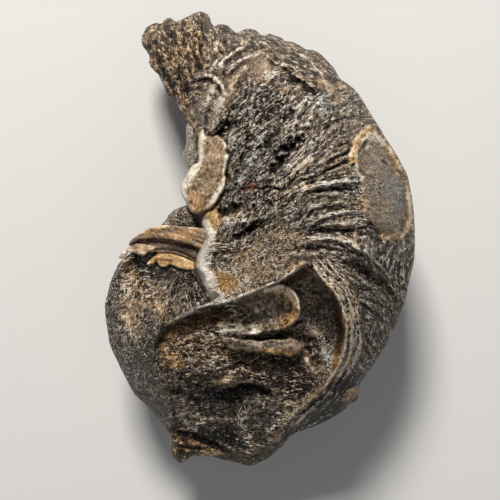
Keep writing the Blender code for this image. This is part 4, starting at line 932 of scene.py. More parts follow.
def broken_layers(x, y):
    """Heights of the broken edges, the flap and the scale."""
    return (
        scarp(x, y, ARCH, ARCH_DROP, ARCH_REACH, width=1.3)
        + scarp(x, y, EAR, EAR_DROP, EAR_REACH, width=0.8)
        + scarp(x, y, FLAP_EDGE, FLAP_EDGE_DROP, FLAP_EDGE_REACH, width=0.5)
        + FLAP_RISE * soft_step(depth_inside(FLAP, x, y), width=1.6)
        + SCALE_RISE * soft_step(depth_inside(SCALE, x, y), width=0.45)
    )


def fold_height(x, y):
    """Heights of the growth folds and of the swelling between them. The folds waver and fade."""
    wave_x, wave_y = wavering(x, y, size=2.4, salt=113)
    x, y = x + FOLD_WANDER * wave_x, y + FOLD_WANDER * wave_y
    strength = FOLD_GAIN * patchy(fractal((x, y), 2.2, 3, 117), 0.95, 0.6, 0.2, 1.4)
    z = ridge(x, y, BULGE, BULGE_RISE, BULGE_WIDTH, FOLD_TAPER)
    for fold in FOLDS:
        z = z + strength * ridge(x, y, fold.path, fold.rise, fold.width, FOLD_TAPER)
    return z


def drawn_strokes(x, y):
    """The height, lightness and warmth that the strokes add. They waver and break up, and the
    broad ones have round ends."""
    wave_x, wave_y = wavering(x, y, size=1.3, salt=63)
    broken = patchy(fractal((x, y), 0.9, 3, 69), 1.0, 1.3, 0.05, 1.8)
    height, tone, warm = (np.zeros(x.shape) for _ in range(3))
    for stroke in STROKES:
        wander = STROKE_WANDER + STROKE_WANDER_SHARE * stroke.width
        here = near_box(np.array(stroke.path), x, y, 3 * stroke.width + wander)
        moved_x, moved_y = x[here] + wander * wave_x[here], y[here] + wander * wave_y[here]
        gap, share = along(stroke.path, moved_x, moved_y, reach=6 * stroke.width + 2)
        strength = np.exp(-((gap / stroke.width) ** 2)) * broken[here]
        if stroke.width < BROAD_STROKE:
            strength = strength * np.clip(np.minimum(share, 1 - share) / STROKE_TAPER, 0, 1)
        height[here] += stroke.rise * strength
        tone[here] += stroke.tone * strength
        warm[here] += stroke.warm * strength
    return height, tone, warm


def crumbled(x, y):
    """Broken stone that breaks up along the grain of the rough middle."""
    u = x * math.cos(ROUGH_GRAIN) + y * math.sin(ROUGH_GRAIN)
    v = across(x, y, ROUGH_GRAIN, ROUGH_SALT)
    lumps = ridged((u / 2.0, v), 1.7, 3, 35, fade=0.65)
    splinters = ridged((u / 4.0, v), 0.75, 3, 37, fade=0.8)
    return LUMP_SHARE * lumps + SPLINTER_SHARE * splinters


def texture_height(x, y, shares, lines):
    """Crumbs, grit, pits and growth lines, as deep as each zone has them."""
    crumbs = ridged((x, y), 2.4, 5, 31, fade=0.75)
    crumbs = crumbs + (crumbled(x, y) - crumbs) * shares["rough"]
    pits = np.zeros(x.shape)
    wave_x, wave_y = wavering(x, y, size=1.1, salt=5)
    for size, salt in PITS:
        gap, value = scattered(x + PIT_WANDER * wave_x, y + PIT_WANDER * wave_y, size, salt)
        pits = pits - np.clip(1 - gap / (PIT_MOUTH + PIT_MOUTH_RANGE * np.clip(value, 0, 1)), 0, 1)
    grit = fractal((x, y), 0.65, 2, 43)
    return (
        laid_over(shares, "crumb") * crumbs
        + laid_over(shares, "grit") * grit
        + PIT_GAIN * laid_over(shares, "pits") * pits
        + LINE_GAIN * laid_over(shares, "lines") * lines
    )


def as_crest_light_pit_shade(height):
    """A height as painted light and shade: a half where it is level, 0 for painted shade in pits
    and 1 for painted highlight on crests.
    """
    return 0.5 + 0.5 * np.tanh(height)


def painted_crest_light_pit_shade(texture, strokes, folds, weight, crumb):
    """Painted shade in the fine and broad hollows and painted highlight on their crests, evened
    out where the stone crumbles most.
    """
    crisp = texture + STROKE_SHARE * strokes + FOLD_SHARE * folds
    fine = crisp - blurred(crisp, weight, FINE_NODES)
    broad = blurred(crisp, weight, BROAD_NODES[0]) - blurred(crisp, weight, BROAD_NODES[1])
    return as_crest_light_pit_shade((FINE_GAIN * fine + BROAD_GAIN * broad) / (1 + CRUMB_EVENING * crumb))


def exposed_side(x, y, depth, inside):
    """Height of the exposed side and the values that its finish is painted with."""
    shares = zone_shares(x, y)
    on_lobe = soft_step(depth_inside(LOBE_SIDE, x, y), LOBE_EDGE)
    sunk = aperture_share(x, y)
    lines, run = lines_and_run(x, y, grain_fields(x, y, shares, on_lobe, sunk))
    texture = texture_height(x, y, shares, lines * (1 - LOBE_LINE_LOSS * on_lobe))
    folds = fold_height(x, y) * (1 - on_lobe) * (1 - sunk)
    stroke_height, stroke_tone, stroke_warm = drawn_strokes(x, y)
    crack = ridge(x, y, CRACK, 1.0, CRACK_WIDTH) * patchy(noise((x / 1.5, y / 1.5), 65), 0.8, 0.6, 0.2, 1.0)
    z = spot_surface(FRONT_SPOTS, x, y) + broken_layers(x, y)
    z = z * (1 - on_lobe) + spot_surface(LOBE_SPOTS, x, y) * on_lobe
    z = z + ridge(x, y, HINGE_BAND, HINGE_RISE, HINGE_WIDTH) + ridge(x, y, KNOB, KNOB_RISE, KNOB_WIDTH)
    z = z * (1 - sunk) + aperture_floor(x, y) * sunk
    z = z + ridge(x, y, LIP, LIP_RISE, LIP_WIDTH, taper=0.12)
    z = z + ridge(x, y, BASE_LIP, BASE_LIP_RISE, BASE_LIP_WIDTH, taper=0.1)
    raw = z + folds + texture + stroke_height - CRACK_DEPTH * crack
    crumb = laid_over(shares, "crumb")
    rust = sum(ridge(x, y, line, RUST_STRENGTH, RUST_WIDTH) for line in RUST_LINES)
    rust = rust * patchy(noise((x * 3, y * 3), 66), 0.8, 1.6, 0.0, 1.0)
    waist = waist_height(x, y)
    marks = {
        "tone": laid_over(shares, "tone") + stroke_tone - CRACK_SHADE * crack,
        "warm": laid_over(shares, "warm") + stroke_warm,
        "relief": painted_crest_light_pit_shade(texture, stroke_height, folds, inside.astype(float), crumb),
        "run": run,
        "lined": np.clip(LINED_SHARE * laid_over(shares, "lines"), 0, MOST_LINED),
        "rust": np.clip(rust, 0, 1),
        "crumb": crumb,
        "speckle": laid_over(shares, "speckle"),
    }
    return waist + (raw - waist) * quarter_round(depth, FRONT_ROUNDING), marks


def buried_side(x, y, depth, inside):
    """The buried side: a convex flank whose growth folds fan out from the hollow of the coil."""
    waist = waist_height(x, y)
    away_x, away_y = x - COIL_MIDDLE[0], y - COIL_MIDDLE[1]
    run = COIL_RADIUS * (np.arctan2(away_y, away_x) + COIL_WANDER * fractal((x, y), 9.0, 2, 51))
    strength = soft_step(np.hypot(away_x, away_y) - COIL_REACH, COIL_BLEND)
    folds = fine_lines(run, x, y, 3.4, 60.0, 55)
    lines = fine_lines(run, x, y, 0.9, 14.0, 56)
    lumps = ridged((x, y), 3.0, 4, 57, fade=0.6)
    raised = strength * (BACK_FOLD_RISE * folds + BACK_LINE_RISE * lines) + BACK_LUMP_RISE * lumps
    raw = spot_surface(BACK_SPOTS, x, y) - raised
    fine = raised - blurred(raised, inside.astype(float), BACK_NODES)
    marks = {
        "tone": BACK_TONE + BACK_TONE_RANGE * fractal((x, y), 12.0, 4, 59),
        "warm": BACK_WARM + BACK_WARM_RANGE * fractal((x, y), 9.0, 3, 61),
        "relief": as_crest_light_pit_shade(BACK_GAIN * fine),
        "run": run,
        "lined": BACK_LINED + BACK_LINED_RANGE * strength,
        "rust": 0.0,
        "crumb": BACK_CRUMB,
        "speckle": BACK_SPECKLE,
    }
    return waist + (raw - waist) * quarter_round(depth, BACK_ROUNDING), marks


# ---- sheets as meshes

# Nodes nearer to the outline than this share of the spacing are left to the seam.
EDGE_SHARE = 0.2
# Vertices nearer than this, in millimetres, are one.
SEAM = 0.002
CUT_SEAM = 1e-4
# How far the finished surface is roughened, in millimetres: everywhere, and more where it crumbles.
ROUGH_LEAST = 0.08
ROUGH_SHARE = 0.9
LOWER_SIDE = "lower_side"


def select_only(piece):
    bpy.ops.object.select_all(action="DESELECT")
    piece.select_set(True)
    bpy.context.view_layer.objects.active = piece


def lay_grid(name, low, high, step):
    """A flat grid primitive over a rectangle of the plan, and its nodes' x and y as rows."""
    columns, rows = (int(math.ceil(side / step)) for side in (high - low))
    bpy.ops.object.select_all(action="DESELECT")
    bpy.ops.mesh.primitive_grid_add(x_subdivisions=columns, y_subdivisions=rows, size=1)
    grid = bpy.context.object
    grid.name = name
    grid.scale = (columns * step, rows * step, 1)
    grid.location = (low[0] + columns * step / 2, low[1] + rows * step / 2, 0)
    bpy.ops.object.transform_apply(location=True, rotation=True, scale=True)
    co = vertex_places(grid)
    shape = (rows + 1, columns + 1)
    return grid, co[:, 0].reshape(shape), co[:, 1].reshape(shape)


def vertex_places(piece):
    co = np.empty(len(piece.data.vertices) * 3, np.float32)
    piece.data.vertices.foreach_get("co", co)
    return co.reshape(-1, 3).astype(float)


def move_vertices(piece, co):
    piece.data.vertices.foreach_set("co", co.astype(np.float32).ravel())
    piece.data.update()


def delete_vertices(piece, unwanted):
    """Deletes the vertices that a mask marks."""
    select_only(piece)
    bpy.ops.object.mode_set(mode="EDIT")
    bpy.ops.mesh.select_mode(type="VERT")
    bpy.ops.mesh.select_all(action="DESELECT")
    bpy.ops.object.mode_set(mode="OBJECT")
    piece.data.vertices.foreach_set("select", unwanted)
    bpy.ops.object.mode_set(mode="EDIT")
    bpy.ops.mesh.delete(type="VERT")
    bpy.ops.object.mode_set(mode="OBJECT")


def touches_inside(inside):
    """Which nodes belong to a cell with a node inside."""
    cells = inside[:-1, :-1] | inside[1:, :-1] | inside[1:, 1:] | inside[:-1, 1:]
    kept = np.zeros(inside.shape, bool)
    for rows, columns in itertools.product((slice(None, -1), slice(1, None)), repeat=2):
        kept[rows, columns] |= cells
    return kept


def closed_sheet(name, points, step, band, upper, lower):
    """A closed sheet between two sides, which give heights and painted values at the nodes. The
    nodes crowd towards the outline within band of it, so that the rounded edge keeps its shape.
    The lower side's vertices are in the group lower_side."""
    loop = smooth_line(points, closed=True)
    ring = np.vstack([loop, loop[:1]])
    halves = []
    for side, make in (("upper", upper), ("lower", lower)):
        low, high = loop.min(axis=0) - step, loop.max(axis=0) + 2 * step
        half, x, y = lay_grid(f"{name}_{side}", low, high, step)
        gap, near_x, near_y, _, _ = nearest(ring, x, y)
        inside = is_inside(loop, x, y) & (gap > EDGE_SHARE * step)
        pull = np.where(inside, np.clip(gap / band, 0, 1), 0.0)
        x, y = near_x + (x - near_x) * pull, near_y + (y - near_y) * pull
        depth = np.where(inside, gap * pull, 0.0)
        z, marks = make(x, y, depth, inside)
        move_vertices(half, np.column_stack([x.ravel(), y.ravel(), z.ravel()]))
        for mark, values in marks.items():
            layer = half.data.attributes.new(mark, "FLOAT", "POINT")
            values = np.broadcast_to(values, x.shape)
            layer.data.foreach_set("value", values.astype(np.float32).ravel())
        group = half.vertex_groups.new(name=LOWER_SIDE)
        if side == "lower":
            group.add([int(i) for i in np.flatnonzero(inside)], 1.0, "REPLACE")
        delete_vertices(half, ~touches_inside(inside).ravel())
        halves.append(half)
    bpy.ops.object.select_all(action="DESELECT")
    for half in halves:
        half.select_set(True)
    bpy.context.view_layer.objects.active = halves[0]
    bpy.ops.object.join()
    sheet = bpy.context.object
    sheet.name = name
    sheet.data.name = name
    close_seam(sheet)
    return sheet


def close_seam(sheet):
    """Merges the two sides where they meet and turns all faces outwards."""
    select_only(sheet)
    bpy.ops.object.mode_set(mode="EDIT")
    bpy.ops.mesh.select_all(action="SELECT")
    bpy.ops.mesh.remove_doubles(threshold=SEAM)
    bpy.ops.mesh.normals_make_consistent(inside=False)
    bpy.ops.object.mode_set(mode="OBJECT")


def thin_lower_side(sheet, most_triangles):
    """Fewer triangles on the side that lies down."""
    triangles = sum(len(face.vertices) - 2 for face in sheet.data.polygons)
    select_only(sheet)
    thin = sheet.modifiers.new("thin_lower_side", "DECIMATE")
    thin.ratio = min(1.0, most_triangles / triangles)
    thin.vertex_group = LOWER_SIDE
    thin.use_collapse_triangulate = True
    bpy.ops.object.modifier_apply(modifier=thin.name)


def roughen(sheet, size, octaves, salt):
    """Moves the surface in and out along its normals by irregular lumps, most where it crumbles."""
    co = vertex_places(sheet)
    normals = np.empty(len(sheet.data.vertices) * 3, np.float32)
    sheet.data.vertex_normals.foreach_get("vector", normals)
    crumb = np.empty(len(sheet.data.vertices), np.float32)
    sheet.data.attributes["crumb"].data.foreach_get("value", crumb)
    lumps = fractal((co[:, 0], co[:, 1], co[:, 2]), size, octaves, salt)
    push = (ROUGH_LEAST + ROUGH_SHARE * crumb) * lumps
    move_vertices(sheet, co + normals.reshape(-1, 3) * push[:, None])


def cut_flat(sheet):
    """Cuts the shell flat where it rests."""
    select_only(sheet)
    bpy.ops.object.mode_set(mode="EDIT")
    bpy.ops.mesh.select_all(action="SELECT")
    bpy.ops.mesh.bisect(
        plane_co=(0, 0, 0), plane_no=(0, 0, 1), use_fill=True, clear_inner=True, threshold=CUT_SEAM
    )
    bpy.ops.object.mode_set(mode="OBJECT")


def to_frame(co):
    """Places in plan millimetres as places in the frame."""
    share = 1 - (co[:, 2] - WAIST) / SIGHT
    x, y = co[:, 0] * share, co[:, 1] * share
    turned_x = x * math.cos(LEAN) - y * math.sin(LEAN)
    turned_y = x * math.sin(LEAN) + y * math.cos(LEAN)
    turned = np.column_stack([turned_x, turned_y, co[:, 2]])
    return BOX_LOW + (turned - DRAWN_LOW) * (BOX_HIGH - BOX_LOW) / (DRAWN_HIGH - DRAWN_LOW)


def finish_piece(sheet, material):
    """Sets a sheet in the frame, gives it its material and fastens it to the shell's body."""
    move_vertices(sheet, to_frame(vertex_places(sheet)))
    sheet.vertex_groups.clear()
    sheet.data.materials.clear()
    sheet.data.materials.append(material)
    select_only(sheet)
    bpy.ops.object.shade_smooth()
    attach(sheet, BODY)


# ---- loose plates

# A plate: outline, height of its middle, slope along X and Y, thickness, width of its rounded edge,
# and how deep its upper side is hollowed.
Plate = namedtuple("Plate", "name points middle slope thickness edge dish", defaults=(0.0,))

CALCITE_TONGUE = Plate("calcite_tongue", [
    (-7.8, 18.9), (-8.2, 18.4), (-8.4, 17.5), (-8.5, 15.8), (-8.5, 13.8), (-9.4, 13.3), (-10.1, 12.3),
    (-10.9, 10.9), (-11.3, 9.7), (-11.2, 8.7), (-10.6, 7.7), (-10.0, 6.5), (-9.4, 5.8), (-8.3, 5.6),
    (-7.2, 6.1), (-6.2, 6.7), (-5.3, 7.6), (-4.8, 8.6), (-4.2, 9.3), (-3.9, 11.0), (-4.0, 11.7),
    (-3.9, 12.5), (-3.7, 13.5), (-3.4, 14.7), (-3.8, 15.3), (-3.7, 16.2), (-4.5, 17.3), (-5.3, 17.9),
    (-6.3, 17.7), (-7.2, 17.9), (-7.6, 18.7),
], middle=28.9, slope=(0.84, -0.1), thickness=3.6, edge=0.45)
# Patches of frosting on the calcite.
FROSTING = [
    [
        (-7.8, 19.0), (-8.4, 18.2), (-8.7, 15.8), (-8.7, 13.8), (-9.6, 13.4), (-10.3, 12.3),
        (-11.2, 10.9), (-11.5, 9.7), (-11.4, 8.7), (-10.9, 7.8), (-10.5, 7.7), (-10.4, 8.6), (-10.3, 9.2),
        (-10.0, 9.9), (-9.5, 10.9), (-8.9, 11.6), (-8.4, 12.4), (-7.9, 13.2), (-7.6, 14.8), (-7.7, 15.8),
        (-7.6, 17.1), (-7.5, 18.5),
    ],
    [
        (-4.0, 11.2), (-4.7, 10.9), (-5.3, 10.0), (-5.7, 9.0), (-6.2, 8.0), (-6.6, 7.2), (-7.1, 6.4),
        (-5.8, 6.7), (-4.9, 7.7), (-4.4, 9.0), (-3.7, 10.4),
    ],
    [(-4.6, 17.0), (-3.7, 17.3), (-3.5, 16.5), (-4.2, 16.2)],
    [(-3.9, 15.1), (-3.1, 14.8), (-3.3, 13.8), (-3.8, 13.3), (-4.1, 12.4), (-4.3, 13.7)],
]
CALCITE_FILM = Plate("calcite_film", [
    (-10.3, 19.8), (-10.5, 18.5), (-10.4, 17.1), (-10.6, 16.0), (-11.0, 15.1), (-10.7, 14.0),
    (-10.2, 13.0), (-9.3, 12.8), (-8.2, 13.4), (-7.9, 15.6), (-8.1, 18.2), (-8.9, 19.0), (-9.5, 19.2),
], middle=22.5, slope=(0.5, 0.1), thickness=1.6, edge=0.3)
# Each lamella with its tone and its warmth.
LAMELLAE = [
    (Plate("upper_lamella", [
        (-19.5, 1.5), (-18.4, 2.3), (-17.2, 3.1), (-15.7, 3.7), (-14.4, 3.9), (-13.4, 4.0), (-11.5, 3.8),
        (-9.3, 3.6), (-7.5, 3.4), (-6.5, 2.8), (-6.7, 1.2), (-7.3, 0.0), (-8.1, 0.3), (-9.2, 0.7),
        (-10.5, 1.1), (-11.7, 1.4), (-12.8, 1.7), (-14.4, 1.9), (-15.7, 2.0), (-17.2, 1.8), (-18.6, 1.8),
        (-19.4, 1.2),
    ], middle=27.2, slope=(0.34, -0.25), thickness=1.1, edge=0.3), 0.43, 0.74),
    # the second lamella's dark tone is partly painted shade under the upper one
    (Plate("second_lamella", [
        (-19.7, 0.9), (-18.7, 1.8), (-17.1, 2.5), (-15.6, 2.9), (-14.0, 3.0), (-12.4, 2.8), (-10.6, 2.4),
        (-8.4, 1.8), (-6.8, 1.3), (-6.7, -1.2), (-7.8, -1.9), (-8.7, -1.3), (-10.0, -0.6), (-11.2, -0.1),
        (-12.4, 0.2), (-14.0, 0.3), (-15.9, 0.3), (-17.4, 0.5), (-18.5, 0.6),
    ], middle=26.0, slope=(0.30, -0.3), thickness=0.8, edge=0.25), 0.27, 0.42),
    (Plate("third_lamella", [
        (-17.1, 0.5), (-15.2, 0.7), (-13.2, 0.7), (-11.2, 0.3), (-9.3, -0.5), (-6.8, -1.2), (-6.8, -2.3),
        (-8.6, -1.8), (-10.3, -1.1), (-11.8, -0.5), (-13.4, -0.2), (-15.2, -0.2), (-16.5, -0.2),
    ], middle=25.9, slope=(0.28, -0.2), thickness=0.8, edge=0.2), 0.44, 0.6),
    (Plate("left_lamella", [
        (-20.3, 0.0), (-19.8, 0.5), (-19.3, 0.9), (-18.2, 1.2), (-16.6, 1.0), (-15.2, 0.6), (-15.6, 0.1),
        (-16.3, -0.1), (-16.9, -0.5), (-17.3, -0.8), (-18.7, -0.4), (-19.7, -0.2),
    ], middle=24.9, slope=(0.26, -0.3), thickness=0.8, edge=0.25), 0.52, 0.66),
    (Plate("lamella_nub", [
        (-20.5, -0.1), (-21.2, -0.7), (-21.3, -1.0), (-21.0, -1.2), (-20.6, -1.2), (-20.2, -0.9),
        (-19.8, -0.4), (-19.7, 0.0),
    ], middle=24.2, slope=(0.1, -0.2), thickness=1.0, edge=0.4), 0.48, 0.46),
    (Plate("golden_lamella", [
        (-16.7, -2.0), (-16.2, -1.5), (-15.7, -1.0), (-15.2, -0.7), (-14.8, -0.2), (-13.9, 0.0),
        (-12.5, -0.3), (-11.0, -0.8), (-9.2, -1.5), (-6.8, -2.2), (-6.8, -3.3), (-8.6, -3.3),
        (-9.2, -3.1), (-10.3, -3.0), (-11.4, -2.8), (-12.5, -2.3), (-13.2, -2.2), (-13.5, -2.5),
        (-14.4, -2.5), (-15.0, -1.9), (-15.3, -1.6), (-15.6, -2.0), (-16.2, -2.1), (-16.6, -2.3),
    ], middle=25.4, slope=(0.24, -0.3), thickness=0.9, edge=0.3), 0.55, 1.2),
]
BOWL_PLATE = Plate("bowl_plate", [
    (-4.8, -9.6), (-3.4, -8.4), (-1.6, -7.3), (0.0, -6.6), (1.9, -5.8), (3.4, -5.5), (4.8, -5.1),
    (6.3, -5.5), (7.3, -6.3), (8.1, -7.6), (8.4, -9.2), (8.1, -10.5), (7.5, -11.3), (6.2, -12.2),
    (4.6, -12.7), (2.7, -12.9), (1.2, -13.4), (-1.2, -13.3), (-3.7, -13.5), (-4.9, -12.8), (-5.4, -11.2),
], middle=26.3, slope=(0.10, 0.45), thickness=8.0, edge=0.4, dish=2.4)
BOWL_CRUST = [[
    (2.2, -5.3), (4.0, -4.8), (6.6, -5.0), (8.4, -6.8), (8.7, -9.0), (7.7, -9.4), (6.9, -7.9),
    (5.6, -6.9), (3.8, -6.5), (2.2, -6.4),
]]
SHELF_PLATE = Plate("shelf_plate", [
    (-4.7, -13.8), (-3.9, -13.4), (-2.6, -13.5), (-1.1, -13.9), (0.3, -13.8), (1.7, -14.1), (3.4, -13.8),
    (5.1, -13.9), (6.8, -13.6), (8.2, -14.3), (8.6, -15.3), (8.2, -16.2), (7.4, -16.4), (6.5, -16.8),
    (5.2, -16.3), (3.7, -16.3), (1.8, -15.9), (-0.1, -15.9), (-1.4, -15.6), (-2.5, -15.7), (-3.9, -15.0),
], middle=26.0, slope=(0.02, 0.22), thickness=2.6, edge=0.35)
# The upper side of a plate starts this far in from its outline, over so much.
WALL_WIDTH = 0.12
WALL_BLEND = 0.2
HOLLOW_REACH = 1.2
PLATE_LIGHT_SHADE_GAIN = 4.0
BOWL_DIP = 4.4


def plate_sheet(plate, texture, paint, step):
    """A plate as a closed sheet. Texture gives its fine height, and paint the values of its finish."""
    cx, cy = np.mean(plate.points, axis=0)

    def plane(x, y):
        return plate.middle + plate.slope[0] * (x - cx) + plate.slope[1] * (y - cy)

    def upper(x, y, depth, inside):
        fine = texture(x, y)
        rounded = quarter_round(depth, plate.edge)
        hollow = plate.dish * (1 - np.exp(-np.clip(depth - plate.edge, 0, None) / HOLLOW_REACH))
        return plane(x, y) + (plate.thickness / 2 + fine) * rounded - hollow, paint(x, y, depth, fine)

    def lower(x, y, depth, inside):
        marks = paint(x, y, np.zeros(x.shape), texture(x, y))
        return plane(x, y) - plate.thickness / 2 * quarter_round(depth, plate.edge), marks

    return closed_sheet(plate.name, plate.points, step, plate.edge, upper, lower)


def plate_marks(tone, warm, fine, frost=0.0):
    """Painted values of a plate."""
    return {"tone": tone, "warm": warm, "relief": as_crest_light_pit_shade(PLATE_LIGHT_SHADE_GAIN * fine), "frost": frost}


def on_top(depth):
    """1 on the upper side of a plate and 0 down its wall."""
    return soft_step(depth - WALL_WIDTH, WALL_BLEND)


def hump(offset, width):
    """1 where the offset is 0, falling off to both sides over the given width."""
    return np.exp(-((offset / width) ** 2))


def covered(outlines, x, y, soft, wander):
    """How far each node lies on any of the drawn patches, whose edges wander."""
    moved_x = x + wander * fractal((x, y), 1.6, 3, 87)
    moved_y = y + wander * fractal((x, y), 1.6, 3, 89)
    shares = [soft_step(depth_inside(outline, moved_x, moved_y), soft) for outline in outlines]
    return np.max(shares, axis=0)


def calcite_texture(x, y):
    return 0.34 * fractal((x, y), 2.2, 5, 71, fade=0.65) + 0.16 * ridged((x, y), 1.1, 3, 73)


def calcite_paint(x, y, depth, fine):
    """The calcite is honey brown, frosted in cream along its left side and down a vein on its
    right. It is most golden at its lower end."""
    golden = soft_step(9.0 - y, 5.0)
    top = on_top(depth)
    cloud = fractal((x, y), 1.1, 4, 97, fade=0.7)
    drift = fractal((x, y), 2.6, 4, 98, fade=0.6)
    patches = covered(FROSTING, x, y, soft=1.0, wander=0.5)
    frost = patches * patchy(cloud, 1.0, 1.0, 0.0, 1.0) * (0.25 + 0.75 * top)
    rim = np.exp(-depth / 0.25) * patchy(cloud, 0.5, 0.8, 0.0, 1.0) * top
    tone = 0.43 + 0.16 * drift + 0.10 * cloud
    warm = 0.62 + 0.3 * golden + 0.3 * drift
    return plate_marks(tone, warm, fine, np.clip(frost + 0.5 * rim, 0, 1))


def film_texture(x, y):
    return 0.05 * fractal((x, y), 1.5, 3, 75)


def film_paint(x, y, depth, fine):
    """The film is grey, and darker beside the calcite."""
    beside = soft_step(x + 9.0, 1.5)
    return plate_marks(0.56 - 0.12 * beside, 0.12, fine)


def lamella_run(x, y):
    """Distance across the fine layers of a lamella, which dip to the right."""
    return y + 0.10 * x + 0.022 * (x + 15.0) ** 2 + 0.3 * noise((x / 4, y / 4), 80)


def lamella_texture(x, y):
    return 0.20 * fractal((x / 7, lamella_run(x, y)), 0.6, 3, 81) + 0.06 * fractal((x, y), 0.8, 2, 83)


def lamella_paint(tone, warm):
    """A lamella is palest along its broken edge, partly its own pale edge and partly painted
    highlight, and has fine pale and dark lines along it.
    """

    def paint(x, y, depth, fine):
        # the pale broken edge is partly painted highlight
        edge = np.exp(-depth / 0.22) * patchy(noise((x * 1.4, y * 1.4), 84), 1.1, 0.9, 0.0, 1.6)
        drift = fractal((x, y), 3.0, 3, 85)
        layers = fractal((x / 9, lamella_run(x, y)), 0.5, 3, 86, fade=0.8)
        own_tone = tone + 0.26 * edge + 0.22 * drift + 0.36 * layers
        return plate_marks(own_tone, warm - 0.25 * edge + 0.3 * drift, fine)

    return paint


def bowl_dip(x):
    """How far the left end of the bowl dips under the stone."""
    return BOWL_DIP * soft_step(-2.0 - x, 6.0)


def bowl_texture(x, y):
    streaks = fractal((x / 2.4, y), 0.7, 3, 94) * soft_step(-11.0 - y, 3.0) * soft_step(2.0 - x, 4.0)
    return 0.32 * fractal((x, y), 1.6, 5, 95, fade=0.75) + 0.4 * streaks - bowl_dip(x)


def bowl_paint(x, y, depth, fine):
    """The bowl is grey brown inside and olive amber to the right, with a pale rim and crust, and a
    painted highlight along its lower rim.
    """
    drift = fractal((x, y), 1.6, 5, 96, fade=0.8)
    mottle = fractal((x, y), 0.7, 3, 93, fade=0.7)
    top = on_top(depth)
    right = soft_step(x - 4.8, 4.0)
    rim = hump(depth, 0.26 + 0.16 * right) * soft_step(x - 1.5, 4.0) * top
    rim = rim * patchy(drift, 0.9, 1.2, 0.0, 1.6)
    olive = right * hump(depth - 1.4, 1.0)
    # painted highlight: a white streak along the lower rim, broken into patches
    highlight_patches = patchy(fractal((x / 2.2, y), 0.8, 3, 100), 0.5, 2.4, 0.0, 1.5)
    painted_highlight = hump(y + 12.4, 0.9) * soft_step(3.0 - np.abs(x + 1.6), 2.2) * highlight_patches
    crust = covered(BOWL_CRUST, x, y, soft=0.7, wander=0.6) * patchy(drift, 0.7, 1.6, 0.0, 1.3) * top
    middle = hump(x - 2.6, 2.4) * hump(y + 9.2, 1.6)
    pale = 0.04 * olive + 0.12 * middle + 0.46 * rim + 0.7 * painted_highlight + 0.7 * crust
    tone = 0.38 + pale + 0.46 * drift + 0.6 * mottle
    warm = 0.46 + 0.6 * olive - 0.2 * middle - 0.1 * rim - 0.3 * painted_highlight + 0.12 * crust + 0.2 * drift
    return plate_marks(tone, warm, fine + bowl_dip(x))


def shelf_texture(x, y):
    return 0.34 * fractal((x / 1.8, y), 1.2, 5, 99, fade=0.7)


def shelf_paint(x, y, depth, fine):
    """The shelf is pinkish and lighter along its top ridge, partly painted highlight, and amber
    along its lower edge.
    """
    drift = fractal((x / 2, y), 1.2, 5, 101, fade=0.75)
    mottle = fractal((x, y), 0.7, 3, 92, fade=0.7)
    # the pinkish top ridge is lighter, partly painted highlight
    top = hump(y + 14.7 + 0.03 * x + 0.4 * drift, 0.45) * soft_step(x + 1.2, 4.0)
    lower = soft_step(-15.3 - y - 0.03 * x + 0.4 * drift, 0.6) * soft_step(x - 1.0, 5.0)
    rim = hump(depth, 0.25) * on_top(depth)
    tone = 0.33 + 0.26 * top + 0.12 * lower + 0.12 * rim + 0.34 * drift + 0.35 * mottle
    return plate_marks(tone, 0.42 - 0.15 * top + 0.5 * lower, fine)


# ---- materials

# Colours of stone from dark to light, as place on the ramp and 0 to 255 on screen.
COOL_STONE = [
    (0.0, (6, 4, 2)), (0.15, (38, 32, 26)), (0.35, (80, 75, 68)), (0.55, (132, 127, 120)),
    (0.75, (186, 181, 174)), (1.0, (244, 240, 233)),
]
WARM_STONE = [
    (0.0, (12, 6, 2)), (0.15, (54, 35, 17)), (0.35, (108, 80, 45)), (0.55, (168, 128, 76)),
    (0.75, (214, 176, 124)), (1.0, (248, 229, 200)),
]
FROST_SHADE = (0.12, 0.09, 0.06, 1.0)
FLOOR_SHADE = 0.96


def add_node(tree, kind, inputs=None, **settings):
    """A node with its settings. Each input gets a value or the socket that feeds it."""
    node = tree.nodes.new(kind)
    for name, value in settings.items():
        setattr(node, name, value)
    for key, value in (inputs or {}).items():
        if isinstance(value, bpy.types.NodeSocket):
            tree.links.new(value, node.inputs[key])
        else:
            node.inputs[key].default_value = value
    return node


def sums(tree, operation, *values, clamp=False):
    """The result of a sum of one, two or three values."""
    inputs = dict(enumerate(values))
    return add_node(tree, "ShaderNodeMath", inputs, operation=operation, use_clamp=clamp).outputs[0]


def swing(tree, value, gain):
    """How far a value of 0 to 1 lies from its middle, times the gain."""
    return sums(tree, "MULTIPLY", sums(tree, "SUBTRACT", value, 0.5), gain)


def between(tree, share, a, b):
    """The value that lies the given share of the way from a to b."""
    return add_node(tree, "ShaderNodeMix", {0: share, 2: a, 3: b}, data_type="FLOAT").outputs[0]


def mixed(tree, share, a, b):
    """The colour that lies the given share of the way from a to b."""
    return add_node(tree, "ShaderNodeMix", {0: share, 6: a, 7: b}, data_type="RGBA").outputs[2]


def painted(tree, mark):
    return add_node(tree, "ShaderNodeAttribute", attribute_name=mark).outputs["Fac"]


def object_place(tree):
    return add_node(tree, "ShaderNodeTexCoord").outputs["Object"]


def noise_level(tree, place, scale, detail, roughness=0.5):
    inputs = {"Vector": place, "Scale": scale, "Detail": detail, "Roughness": roughness}
    return add_node(tree, "ShaderNodeTexNoise", inputs).outputs["Fac"]


def linear(colour):
    """A colour given as 0 to 255 on screen, as linear light."""
    parts = [c / 255 for c in colour]
    return tuple(c / 12.92 if c <= 0.04045 else ((c + 0.055) / 1.055) ** 2.4 for c in parts) + (1.0,)


